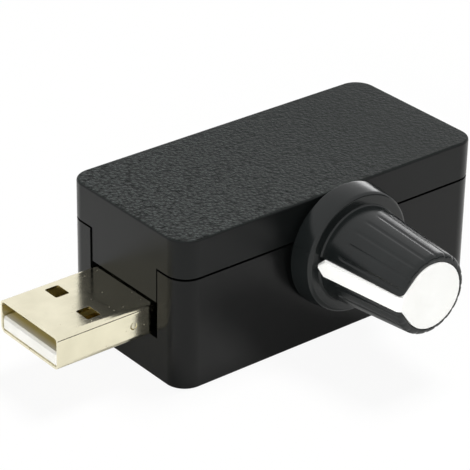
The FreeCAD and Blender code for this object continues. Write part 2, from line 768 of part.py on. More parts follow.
# Shaft: round in the bushing, knurled and slotted where the knob grips it, with a stub for the rotor
potShaft = turned("pot_shaft", [
    ("0", rotorBottom), ("shaftStub", rotorBottom), ("shaftStub", rotorTop), ("shaftRound", rotorTop),
    ("shaftRound", "shaftReach - shaftChamfer"), ("shaftRound - shaftChamfer", "shaftReach"),
    ("0", "shaftReach"),
], "pointerTurn")
sketch = sketchOn(potShaft, "XY_Plane", "shaftReach - knurlReach")
knurlOut = "(shaftRound + knurlDepth)"
polygon(sketch, [
    ("shaftRound - knurlDepth", "0"), (knurlOut, "-2 * knurlDepth"), (knurlOut, "2 * knurlDepth"),
])
pocket(sketch, "2 * knurlReach")
repeatRound(potShaft, potShaft.Tip, "knurlCount")
sketch = sketchOn(potShaft, "XY_Plane", "shaftReach - shaftSlotDepth")
rectangle(sketch, *around("0", "shaftSlot"), f"-{knurlOut}", knurlOut)
pocket(sketch, "2 * shaftSlotDepth")

turned("pot_rotor", [
    ("shaftStub + fitGap", rotorBottom), ("rotorRound", rotorBottom),
    ("rotorRound", rotorTop), ("shaftStub + fitGap", rotorTop),
])

# Wiper: a spring ring on the rotor's back, with two fingers that reach to the track
wiperBack = f"({rotorBottom} - wiperThick)"
potWiper = turned("pot_wiper", [
    ("wiperEye", wiperBack), ("wiperRound", wiperBack),
    ("wiperRound", rotorBottom), ("wiperEye", rotorBottom),
])
fingerTip = f"({trackTop} + runningGap)"
for side in (-1, 1):
    sketch = sketchOn(potWiper, "XZ_Plane")
    polygon(sketch, [
        (f"{side} * wiperEye", rotorBottom), (f"{side} * (wiperEye + wiperThick)", rotorBottom),
        (f"{side} * wiperRound", fingerTip), (f"{side} * (wiperRound - 2 * wiperThick)", fingerTip),
    ])
    pad(sketch, "wiperFinger", both=True)

# Track: the resistive ring on the cup's floor, open at the bottom where its ends meet the terminals
potTrack = onKnobAxis(newBody("pot_track"))
sketch = sketchOn(potTrack, "XY_Plane", cavityFloor)
circle(sketch, "cavityRound - trackGap")
circle(sketch, "wiperEye")
pad(sketch, "trackThick")
sketch = sketchOn(potTrack, "XY_Plane", cavityFloor)
rectangle(sketch, *around("0", "trackSlot"), "-cavityRound", "0")
pocket(sketch, "trackThick")

# Knob: a skirt that hides the nut, a tapered fluted grip, and a seat in its end and side for the cap
pegFloor = f"({capFloor} - pegLength - capGap)"
knobBody = turned("knob_body", [
    (f"{nutCorner} + knobClear", knobBack), ("skirtBack", knobBack), ("skirtFront", skirtTop),
    ("knobBase", skirtTop), ("knobEnd", knobTop), ("capRound + capGap", knobTop),
    ("capRound + capGap", capFloor), ("pegRound + capGap", capFloor), ("pegRound + capGap", pegFloor),
    ("0", pegFloor), ("0", "shaftReach + boreClear"), ("shaftRound + fitGap", "shaftReach + boreClear"),
    ("shaftRound + fitGap", "bushReach + knobClear"), ("bushRound + knobClear", "bushReach + knobClear"),
    ("bushRound + knobClear", f"{nutTop} + knobClear"),
    (f"{nutCorner} + knobClear", f"{nutTop} + knobClear"),
], "pointerTurn")
dressEdges(knobBody, "Fillet", "rimRound", ringAt("knobEnd", knobTop))
dressEdges(knobBody, "Fillet", "skirtRound", ringAt("skirtFront", skirtTop))
dressEdges(knobBody, "Fillet", "baseRound", ringAt("knobBase", skirtTop))
before = knobBody.Tip.Shape.Volume
flute = knobBody.newObject("PartDesign::SubtractiveCylinder", "knob_flute")
fluteRun = "(knobHeight - skirtHeight - fluteStart)"
fluteSlope = f"({knobTaper} + fluteDepth / {fluteRun})"
flute.Placement = FreeCAD.Placement(FreeCAD.Vector(), FreeCAD.Rotation(FreeCAD.Vector(0, 1, 0), 90))
bind(flute, {
    "Radius": "fluteRound",
    "Height": f"{fluteRun} / cos(atan({fluteSlope})) + rimRound",
    "Placement.Base.x": f"knobEnd + fluteRound - fluteDepth - {fluteSlope} * rimRound",
    "Placement.Base.z": f"{knobTop} + rimRound",
    "Placement.Rotation.Angle": f"180 deg - atan({fluteSlope})",
})
document.recompute()
checkCut(knobBody, before)
repeatRound(knobBody, flute, "fluteCount")


def flareOutline(sketch, gap):
    # the pointer's root on the cap's face: from the disc's edge, narrowing to the arm's width at the rim
    radius = f"(capRound + {gap})"
    reach = f"(armEnd + {gap})"
    half = f"(armWidth / 2 + {gap})"
    polygon(sketch, [
        (f"-{radius} * cos(flareAngle)", f"-{radius} * sin(flareAngle)"), ("0", "0"),
        (f"-{radius} * cos(flareAngle)", f"{radius} * sin(flareAngle)"), (f"-{reach}", half),
        (f"-{reach}", f"-{half}"),
    ])


sketch = sketchOn(knobBody, "XY_Plane", capFloor)
flareOutline(sketch, "capGap")
pocket(sketch, "2 * capDepth")
sketch = sketchOn(knobBody, "XZ_Plane")
armInBase = "(knobBase - armSunk)"
armInEnd = "(knobEnd - armSunk)"
polygon(sketch, [
    (f"-{armInBase} + capGap", skirtTop), ("-skirtBack", skirtTop), ("-skirtBack", capTop),
    (f"-{armInEnd} + capGap + {knobTaper} * capProud", capTop),
])
pocket(sketch, "armWidth + 2 * capGap", both=True)

# Pointer cap: a disc in the knob's end, with a peg behind it and an arm down the knob's side
armTop = f"({capTop} - capBevel)"
knobCap = turned("knob_cap", [
    ("0", f"{capFloor} - pegLength"), ("pegRound", f"{capFloor} - pegLength"), ("pegRound", capFloor),
    ("capRound", capFloor), ("capRound", armTop), ("capRound - capBevel", capTop), ("0", capTop),
], "pointerTurn")
sketch = sketchOn(knobCap, "XY_Plane", capFloor)
flareOutline(sketch, "0")
pad(sketch, f"{armTop} - {capFloor}")
sketch = sketchOn(knobCap, "XZ_Plane")
polygon(sketch, [
    (f"-{armInEnd} - {knobTaper} * capDepth", capFloor), (f"-{armInBase}", skirtTop),
    ("-armBase + armHeel", skirtTop), ("-armBase", f"{skirtTop} + armHeel"),
    ("-armEnd", f"{armTop} - capBevel"), ("-armEnd + capBevel", armTop), ("-capRound + capBevel", armTop),
    ("-capRound + capBevel", capFloor),
])
pad(sketch, "armWidth", both=True)


# Small parts on the board
def flatLead(body, root, out, foot, height, width, place):
    # a lead that leaves a package level, turns down and ends flat on the board, drawn across the board
    sketch = sketchOn(body, "YZ_Plane", place)
    side = "1" if value(foot) > value(root) else "-1"
    step = f"{side} * leadThick"
    polygon(sketch, [
        (root, f"{height} + leadThick"), (f"{out} + {step}", f"{height} + leadThick"),
        (f"{out} + {step}", f"{boardTop} + leadThick"), (foot, f"{boardTop} + leadThick"), (foot, boardTop),
        (out, boardTop), (out, height), (root, height),
    ])
    pad(sketch, width, both=True)


# The small parts stand in two rows, spread evenly from the plug's tails to what closes each row
rowStart = f"({plugBack} + tailBack)"
canSpan = "(canBaseWidth + 2 * canFootReach)"


def spread(end, widths):
    # the middle of each width, set between rowStart and end with equal gaps
    gap = f"(({end} - {rowStart} - {' - '.join(widths)}) / {len(widths) + 1})"
    middles = []
    reach = rowStart
    for width in widths:
        middles.append(f"({reach} + {gap} + {width} / 2)")
        reach = f"({middles[-1]} + {width} / 2)"
    return middles


chipCapAcross, chipAcross, resistorAcross = spread(
    f"(potAcross - {armOut})", ["smallWidth", "chipLength", "smallWidth"])
inputAcross, outputAcross, powerAcross = spread(
    f"({socketBack} - tailBack)", [canSpan, canSpan, "powerWidth"])

# Timer chip: an eight-lead package, four leads along each long side
chipBack = f"({frontInside} + chipInset)"
chipMiddle = f"{boardTop} + chipLift + chipThick / 2"
parts.append(block(
    "timer_chip", *around(chipAcross, "chipLength"), *around(chipBack, "chipWidth"),
    *around(chipMiddle, "chipThick")))
chipLeads = newBody("timer_chip_leads")
chipLeads.AllowCompound = True
for front in ("-1", "1"):
    for number in range(int(value("leadCount"))):
        root = f"{chipBack} + {front} * chipWidth / 2"
        place = f"{chipAcross} + ({number} - (leadCount - 1) / 2) * leadPitch"
        flatLead(chipLeads, root, f"{root} + {front} * leadReach / 3", f"{root} + {front} * leadReach",
                 chipMiddle, "leadWidth", place)

# Power transistor: a flat package on a wide metal tab, with a lead to each side of its front
powerRear = f"({boardRear} - powerEdge - tabReach)"
powerFront = f"({powerRear} - powerLength)"
tabTop = f"({boardTop} + tabThick)"
parts.append(block(
    "transistor_body", *around(powerAcross, "powerWidth"), powerFront, powerRear,
    tabTop, f"{tabTop} + powerThick"))
parts.append(block(
    "transistor_tab", *around(powerAcross, "tabWidth"), f"{powerFront} + tabReach",
    f"{powerRear} + tabReach", boardTop, tabTop))
powerLeads = newBody("transistor_leads")
powerLeads.AllowCompound = True
for side in ("-1", "1"):
    flatLead(powerLeads, powerFront, f"{powerFront} - leadReach", f"{powerFront} - 2 * leadReach",
             f"{tabTop} + leadThick", "powerLeadWidth", f"{powerAcross} + {side} * powerLeadPitch")

# Flyback diode: a moulded block between the transistor's leads, with a strap under each of its ends
potRear = f"({frontInside} + plateThick + potDepth)"
diodeBack = f"(({potRear} + {powerFront}) / 2)"
diodeLow = f"({boardTop} + diodeLift)"
parts.append(block(
    "diode_body", *around(powerAcross, "diodeWidth"), *around(diodeBack, "diodeLength"),
    diodeLow, f"{diodeLow} + diodeThick"))
diodeLeads = newBody("diode_leads")
diodeLeads.AllowCompound = True
for front in ("-1", "1"):
    sketch = sketchOn(diodeLeads, "YZ_Plane", powerAcross)
    root = f"{diodeBack} + {front} * diodeLength / 2"
    wrap = f"{root} + {front} * leadThick"
    under = f"{root} - {front} * diodeLength / 4"
    high = f"{diodeLow} + diodeThick / 2"
    polygon(sketch, [
        (root, high), (wrap, high), (wrap, boardTop), (under, boardTop),
        (under, diodeLow), (root, diodeLow),
    ])
    pad(sketch, "diodeStrap", both=True)

# Electrolytic capacitors: a crimped can on a moulded base, with two flat feet let into the base
canBack = f"({boardRear} - canInset - canBaseWidth / 2)"
crimpMiddle = "(canHeight / 6 + canCrimp)"
for name, across in (("input_capacitor", inputAcross), ("output_capacitor", outputAcross)):
    base = newBody(f"{name}_base")
    sketch = sketchOn(base, "XY_Plane", boardTop)
    rectangle(sketch, *around(across, "canBaseWidth"), *around(canBack, "canBaseWidth"))
    pad(sketch, "canBaseThick")
    feet = []
    for side in (-1, 1):
        footRoot = f"{across} + {side} * canBaseWidth / 4"
        footEnd = f"{across} + {side} * (canBaseWidth / 2 + canFootReach)"
        sketch = sketchOn(base, "XY_Plane", boardTop)
        rectangle(sketch, footRoot, footEnd, *around(canBack, "canFootWidth + 2 * fitGap"))
        pocket(sketch, "leadThick")
        ends = [footRoot, footEnd][::side]
        feet.append(block(
            f"{name}_foot_{len(feet) + 1}", *ends, *around(canBack, "canFootWidth"),
            boardTop, f"{boardTop} + leadThick"))
    group(f"{name}_feet", feet)
    can = newBody(f"{name}_can")
    bind(can, {
        "Placement.Base.x": across,
        "Placement.Base.y": canBack,
        "Placement.Base.z": f"{boardTop} + canBaseThick",
    })
    revolve(can, [
        ("0", "0"), ("canRound", "0"), ("canRound", f"{crimpMiddle} - canCrimp"),
        ("canRound - canCrimp", crimpMiddle), ("canRound", f"{crimpMiddle} + canCrimp"),
        ("canRound", "canHeight - canCrimp"), ("canRound - canCrimp", "canHeight"), ("0", "canHeight"),
    ])

# Chip resistors and chip capacitors: blocks with a metal cap on each end
chipRows = [
    ("chip_resistors", resistorAcross, "resistorCount"),
    ("chip_capacitors", chipCapAcross, "chipCapCount"),
]
smallTop = f"{boardTop} + smallThick"
endCaps = []
for name, across, count in chipRows:
    members = []
    sides = around(across, "smallWidth")
    for number in range(int(value(count))):
        middle = f"({frontInside} + rowInset + {number} * rowStep)"
        members.append(block(
            f"{name}_{number + 1}", *sides, *around(middle, "smallLength"), boardTop, smallTop))
        for front in (-1, 1):
            inner = f"{middle} + {front} * smallLength / 2"
            ends = [inner, f"{inner} + {front} * smallEnd"][::front]
            endCaps.append(block(f"chip_end_cap_{len(endCaps) + 1}", *sides, *ends, boardTop, smallTop))
    group(name, members)
group("chip_end_caps", endCaps)

# Circuit board: fills the case inside, with a hole for each pin of the posts and each tail it carries
boardBody = newBody("circuit_board")
sketch = sketchOn(boardBody, "XY_Plane", boardBottom)
roundedRectangle(
    sketch, f"caseLength - 2 * {insideGap}", f"caseWidth - 2 * {insideGap}", f"cornerRound - {insideGap}")
pad(sketch, "boardThick")
sketch = sketchOn(boardBody, "XY_Plane", f"{boardBottom} - pinGap")
for side in (-1, 1):
    for front in (-1, 1):
        circle(sketch, "pinRound + pinGap", f"{side} * {postAcross}", f"{front} * postBack")
holes = []
for middle, inset in contactRow:
    sides = around(middle, "contactWidth")
    holes.append((f"{plugBack} + tailBack - contactThick", f"{plugBack} + tailBack", *sides))
    holes.append((f"{socketBack} - tailBack", f"{socketBack} - tailBack + contactThick", *sides))
for front in (-1, 1):
    ends = [f"{front} * (plugWidth / 2 - plugSheet)", f"{front} * plugWidth / 2"][::front]
    holes.append((f"{plugBack} - lugInset - lugWidth", f"{plugBack} - lugInset", *ends))
    ends = [f"{front} * (socketWidth / 2 - socketSheet)", f"{front} * socketWidth / 2"][::front]
    for lug in ("0", "lugSpread"):
        left = f"{socketBack} + lugInset + {lug}"
        holes.append((left, f"{left} + lugWidth", *ends))
for side in (-1, 1):
    ends = [f"potAcross + {side} * potWidth / 2", f"potAcross + {side} * {armOut}"][::side]
    holes.append((*ends, f"{frontInside} + 2 * plateThick", f"{frontInside} + plateThick + armDepth"))
for place in terminalPlaces:
    sides = around(f"potAcross + {place}", "terminalWidth")
    face = f"{frontInside} - {terminalBack}"
    holes.append((*sides, f"{face} - terminalThick", face))
for left, right, front, back in holes:
    rectangle(sketch, f"{left} - holeGap", f"{right} + holeGap", f"{front} - holeGap", f"{back} + holeGap")
pocket(sketch, "boardThick + 2 * pinGap")

document.recompute()
for thing in document.Objects:
    if "Invalid" in thing.State or "Error" in thing.State:
        raise RuntimeError(f"{thing.Name} is {thing.State}")
for part in parts:
    if part.Shape.isNull() or not part.Shape.isValid() or not part.Shape.Solids:
        raise RuntimeError(f"{part.Label} has no sound shape")

os.makedirs("parts", exist_ok=True)
for part in parts:
    part.Shape.exportStep(f"parts/{part.Label}.step")
    print(f"{part.Label}: {len(part.Shape.Solids)} solid, {part.Shape.Volume:.2f} mm3")
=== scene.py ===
import json
import math
import bmesh
import bpy
from mathutils import Matrix, Quaternion, Vector


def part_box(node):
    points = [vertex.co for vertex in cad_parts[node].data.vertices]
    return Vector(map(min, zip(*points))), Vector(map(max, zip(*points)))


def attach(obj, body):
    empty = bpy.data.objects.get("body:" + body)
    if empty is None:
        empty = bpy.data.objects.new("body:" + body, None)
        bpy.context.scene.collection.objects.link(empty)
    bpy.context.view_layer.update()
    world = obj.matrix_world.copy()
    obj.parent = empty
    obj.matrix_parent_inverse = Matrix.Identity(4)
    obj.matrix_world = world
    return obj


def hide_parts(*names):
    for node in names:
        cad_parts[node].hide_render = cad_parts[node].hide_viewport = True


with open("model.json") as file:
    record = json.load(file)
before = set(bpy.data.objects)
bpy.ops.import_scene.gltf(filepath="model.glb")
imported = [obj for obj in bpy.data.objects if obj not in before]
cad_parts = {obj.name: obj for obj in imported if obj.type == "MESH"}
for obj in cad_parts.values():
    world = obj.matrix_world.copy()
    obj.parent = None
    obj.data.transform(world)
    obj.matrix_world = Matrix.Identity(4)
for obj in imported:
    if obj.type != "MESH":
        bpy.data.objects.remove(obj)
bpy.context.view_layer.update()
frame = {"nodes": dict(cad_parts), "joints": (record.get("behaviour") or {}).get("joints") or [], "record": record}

# A USB fan speed controller. Pieces are modelled in millimetres and turned to metres when they are done.
mm = 0.001
close = 0.001  # how near two places count as the same, in millimetres
square = 0.99  # how square to an axis an edge or a face has to lie
overshoot = 1.0  # how far a cutter reaches past what it cuts, in millimetres
edgeAngle = 35  # only edges that turn by more degrees than this are broken
print("packed model loaded:", len(frame["nodes"]), "nodes")

caseLow, caseHigh = (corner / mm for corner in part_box("bottom_case"))
coverLow, coverHigh = (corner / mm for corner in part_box("top_cover"))
boardLow, boardHigh = (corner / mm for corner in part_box("circuit_board"))
plugLow, plugHigh = (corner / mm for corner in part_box("plug_shell"))
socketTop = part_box("socket_shell")[1].z / mm
knobAxis = Vector(frame["joints"][0]["pos_m"]) / mm


# Mesh helpers
def toObject(name, bm):
    bmesh.ops.recalc_face_normals(bm, faces=bm.faces)
    mesh = bpy.data.meshes.new(name)
    bm.to_mesh(mesh)
    bm.free()
    piece = bpy.data.objects.new(name, mesh)
    bpy.context.scene.collection.objects.link(piece)
    return piece


def block(low, high):
    # a plain block between two corners, the raw stock for housings and cutters
    bm = bmesh.new()
    bmesh.ops.create_cube(bm, size=1)
    low, high = Vector(low), Vector(high)
    bmesh.ops.scale(bm, vec=high - low, verts=bm.verts)
    bmesh.ops.translate(bm, vec=(low + high) / 2, verts=bm.verts)
    return bm


def rod(radius, start, end, steps=48):
    # a round bar from one point to another
    start, end = Vector(start), Vector(end)
    bm = bmesh.new()
    bmesh.ops.create_cone(bm, cap_ends=True, segments=steps, radius1=radius, radius2=radius,
                          depth=(end - start).length)
    turn = (end - start).to_track_quat("Z", "Y").to_matrix().to_4x4()
    bmesh.ops.transform(bm, matrix=Matrix.Translation((start + end) / 2) @ turn, verts=bm.verts)
    return bm


def runsAlong(edge, axis):
    run = edge.verts[1].co - edge.verts[0].co
    return abs(run[axis]) > square * run.length


def roundEdges(bm, edges, radius, segments):
    bmesh.ops.bevel(bm, geom=edges, offset=radius, offset_type="OFFSET", affect="EDGES",
                    segments=segments, profile=0.5, material=-1)


def roundCorners(bm, corners, radius, segments):
    # for an outline that is still flat
    bmesh.ops.bevel(bm, geom=corners, offset=radius, offset_type="OFFSET", affect="VERTICES",
                    segments=segments, profile=0.5, material=-1)


def flatFaces(bm, axis, place):
    return [face for face in bm.faces
            if abs(face.normal[axis]) > square and abs(face.calc_center_median()[axis] - place) < close]


def step(bm, place, inset, travel):
    # steps inwards on the flat face at this height, then moves the inner part up or down
    face = flatFaces(bm, 2, place)
    bmesh.ops.inset_region(bm, faces=face, thickness=inset, use_even_offset=True)
    moved = bmesh.ops.extrude_discrete_faces(bm, faces=face)["faces"]
    corners = {corner for one in moved for corner in one.verts}
    bmesh.ops.translate(bm, vec=(0, 0, travel), verts=list(corners))


def carve(piece, bm, operation="DIFFERENCE"):
    # cuts a closed mesh with another one, or joins it on
    cutter = toObject("cutter", bm)
    change = piece.modifiers.new("carve", "BOOLEAN")
    change.operation = operation
    change.solver = "EXACT"
    change.object = cutter
    view = bpy.context.evaluated_depsgraph_get()
    carved = bpy.data.meshes.new_from_object(piece.evaluated_get(view))
    piece.modifiers.remove(change)
    before = piece.data
    piece.data = carved
    carved.name = piece.name
    bpy.data.meshes.remove(before)
    spent = cutter.data
    bpy.data.objects.remove(cutter)
    bpy.data.meshes.remove(spent)


def dress(piece, body, nodes, material, edge=0.0, segments=2):
    # turns a finished shape to metres, breaks its edges and hands it to the frame
    piece.data.transform(Matrix.Scale(mm, 4))
    piece.data.materials.clear()
    piece.data.materials.append(material)
    piece.data.shade_smooth()
    if edge:
        broken = piece.modifiers.new("edges", "BEVEL")
        broken.width = edge * mm
        broken.segments = segments
        broken.limit_method = "ANGLE"
        broken.angle_limit = math.radians(edgeAngle)
        broken.harden_normals = True
        broken.miter_outer = "MITER_ARC"
    even = piece.modifiers.new("normals", "WEIGHTED_NORMAL")
    even.keep_sharp = True
    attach(piece, body)
    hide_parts(*nodes)


# Material helpers
noiseLow, noiseHigh = 0.3, 0.7  # nearly all values of a noise texture lie between these
mixShare, mixFirst, mixSecond, mixResult = 0, 6, 7, 2  # sockets of a Mix node that mixes colours


def colour(code):
    # sRGB hex to the linear colour that a shader takes
    parts = [int(code[place:place + 2], 16) / 255 for place in (1, 3, 5)]
    return [part / 12.92 if part <= 0.04045 else ((part + 0.055) / 1.055) ** 2.4 for part in parts] + [1]


def addNode(tree, kind, inputs=None, **settings):
    # adds a node, with its settings, and a value or a link for each input that is given
    node = tree.nodes.new(kind)
    for name, setting in settings.items():
        setattr(node, name, setting)
    for place, given in (inputs or {}).items():
        if isinstance(given, bpy.types.NodeSocket):
            tree.links.new(given, node.inputs[place])
        else:
            node.inputs[place].default_value = given
    return node


def startMaterial(name):
    material = bpy.data.materials.new(name)
    material.use_nodes = True
    material.node_tree.nodes.clear()
    return material, material.node_tree


def perGrain(size):
    # the texture scale that repeats once in this many millimetres
    return 1 / (size * mm)


plasticSkin = {
    "rubbedFiner": 3,  # rubbed marks are this many times finer than the flow marks
    "lightIn": 1.0,  # how far light goes into a pale plastic, in millimetres
}


def mouldedPlastic(name, look):
    # injection moulded plastic: the tool's fine grain as bump, faint flow marks, and a rubbed sheen
    material, tree = startMaterial(name)
    here = addNode(tree, "ShaderNodeTexCoord").outputs["Object"]
    grain = addNode(tree, "ShaderNodeTexNoise", {
        "Vector": here, "Scale": perGrain(look["grain"]), "Detail": 3.0, "Roughness": 0.6})
    flow = addNode(tree, "ShaderNodeTexNoise", {
        "Vector": here, "Scale": perGrain(look["flow"]), "Detail": 4.0, "Roughness": 0.6,
        "Distortion": 0.6})
    rubbedAndPaintedLight = addNode(tree, "ShaderNodeTexNoise", {
        "Vector": here, "Scale": perGrain(look["flow"] / plasticSkin["rubbedFiner"]), "Detail": 6.0,
        "Roughness": 0.7})
    drift = addNode(tree, "ShaderNodeMapRange", {
        "Value": flow.outputs["Fac"], "From Min": noiseLow, "From Max": noiseHigh})
    tint = addNode(tree, "ShaderNodeMix", {
        mixShare: drift.outputs["Result"], mixFirst: colour(look["dark"]),
        mixSecond: colour(look["light"])}, data_type="RGBA")
    # painted shade: the colour turns to a darker tint along X, for a surface that lies in shade inside a mouth
    if "paintedShade" in look:
        inwards = addNode(tree, "ShaderNodeSeparateXYZ", {"Vector": here})
        start, end = (place * mm for place in look["paintedShadeFrom"])
        mouthShade = addNode(tree, "ShaderNodeMapRange", {
            "Value": inwards.outputs["X"], "From Min": start, "From Max": end})
        tint = addNode(tree, "ShaderNodeMix", {
            mixShare: mouthShade.outputs["Result"], mixFirst: tint.outputs[mixResult],
            mixSecond: colour(look["paintedShade"])}, data_type="RGBA")
    gloss = addNode(tree, "ShaderNodeMapRange", {
        "Value": rubbedAndPaintedLight.outputs["Fac"], "From Min": noiseLow, "From Max": noiseHigh,
        "To Min": look["smooth"], "To Max": look["rough"]})
    bump = addNode(tree, "ShaderNodeBump", {
        "Height": grain.outputs["Fac"], "Strength": look["strength"], "Distance": look["depth"] * mm})
    lightIn = plasticSkin["lightIn"] * mm
    shader = addNode(tree, "ShaderNodeBsdfPrincipled", {
        "Base Color": tint.outputs[mixResult], "Roughness": gloss.outputs["Result"],
        "Normal": bump.outputs["Normal"], "IOR": look["ior"], "Specular IOR Level": look["sheen"],
        "Subsurface Weight": look.get("through", 0.0), "Subsurface Radius": (lightIn, lightIn, lightIn),
        "Subsurface Scale": 1.0})
    addNode(tree, "ShaderNodeOutputMaterial", {"Surface": shader.outputs["BSDF"]})
    return material


metalSkin = {
    "depth": 0.01,
    "speckOver": 0.7,  # a speck lies only where a random value from 0 to 1 is over this
    "speckCore": 0.06,
    "speckRim": 0.14,
    "speckHaze": 0.5,
}


def bareMetal(name, look):
    # rolled, plated or cast metal: streaks along the rolling direction, fine specks and a soft haze
    material, tree = startMaterial(name)
    here = addNode(tree, "ShaderNodeTexCoord").outputs["Object"]
    lie = addNode(tree, "ShaderNodeMapping", {"Vector": here, "Scale": look["lie"]})
    streak = addNode(tree, "ShaderNodeTexNoise", {
        "Vector": lie.outputs["Vector"], "Scale": perGrain(look["streak"]), "Detail": 5.0,
        "Roughness": 0.65})
    haze = addNode(tree, "ShaderNodeTexNoise", {
        "Vector": here, "Scale": perGrain(look["haze"]), "Detail": 3.0, "Roughness": 0.5})
    cells = addNode(tree, "ShaderNodeTexVoronoi", {
        "Vector": here, "Scale": perGrain(look["speck"])}, feature="F1")
    drawn = addNode(tree, "ShaderNodeSeparateColor", {"Color": cells.outputs["Color"]})
    few = addNode(tree, "ShaderNodeMath", {
        0: drawn.outputs["Red"], 1: metalSkin["speckOver"]}, operation="GREATER_THAN")
    dot = addNode(tree, "ShaderNodeMapRange", {
        "Value": cells.outputs["Distance"], "From Min": metalSkin["speckCore"],
        "From Max": metalSkin["speckRim"], "To Min": metalSkin["speckHaze"], "To Max": 0.0})
    specks = addNode(tree, "ShaderNodeMath", {
        0: dot.outputs["Result"], 1: few.outputs["Value"]}, operation="MULTIPLY")
    drift = addNode(tree, "ShaderNodeMapRange", {
        "Value": haze.outputs["Fac"], "From Min": noiseLow, "From Max": noiseHigh})
    tint = addNode(tree, "ShaderNodeMix", {
        mixShare: drift.outputs["Result"], mixFirst: colour(look["dark"]),
        mixSecond: colour(look["light"])}, data_type="RGBA")
    brushed = addNode(tree, "ShaderNodeMapRange", {
        "Value": streak.outputs["Fac"], "From Min": noiseLow, "From Max": noiseHigh,
        "To Min": look["smooth"], "To Max": look["rough"]})
    gloss = addNode(tree, "ShaderNodeMath", {
        0: brushed.outputs["Result"], 1: specks.outputs["Value"]}, operation="ADD")
    bump = addNode(tree, "ShaderNodeBump", {
        "Height": streak.outputs["Fac"], "Strength": look["strength"],
        "Distance": metalSkin["depth"] * mm})
    shader = addNode(tree, "ShaderNodeBsdfPrincipled", {
        "Base Color": tint.outputs[mixResult], "Metallic": 1.0, "Roughness": gloss.outputs["Value"],
        "Normal": bump.outputs["Normal"]})
    addNode(tree, "ShaderNodeOutputMaterial", {"Surface": shader.outputs["BSDF"]})
    return material


# Black ABS straight from the tool: nearly black, satin, with the tool's polish lines just felt
caseAbs = mouldedPlastic("blackAbsMoulded", {
    "dark": "#060707", "light": "#0a0b0b", "grain": 0.09, "flow": 9.0, "strength": 0.25, "depth": 0.02,
    "smooth": 0.2, "rough": 0.27, "ior": 1.53, "sheen": 0.2})

coverLook = {
    "dark": "#080a09",
    "light": "#1f2322",
    # the paler tone painted on the top towards the plug's end, standing in for brighter light there
    "rubbedAndPaintedLight": "#383c3b",
    "paintedLightLeast": 0.16,  # how much of the painted light is left at the far end
    "flank": "#0b0d0d",
    "topFrom": 0.6,  # a face that points up by this much begins to carry the pebbles
    "topFull": 0.85,
    "pebble": 0.45,
    "wander": 0.5,
    "wanderEvery": 0.9,
    "wrinkle": 0.26,
    "depth": 0.12,
    "swing": 0.35,  # how far the lumps rise and fall, before their depth
    "worn": 0.25,  # how much of the grain's height is left at the far end
    "wornFrom": 14.0,  # where along the box that end begins
    "grain": 0.09,
    "grainDepth": 0.02,
    "smooth": 0.36,
    "rough": 0.54,
    "side": 0.31,
    "topSheen": 0.059,
    "sideSheen": 0.19,
}


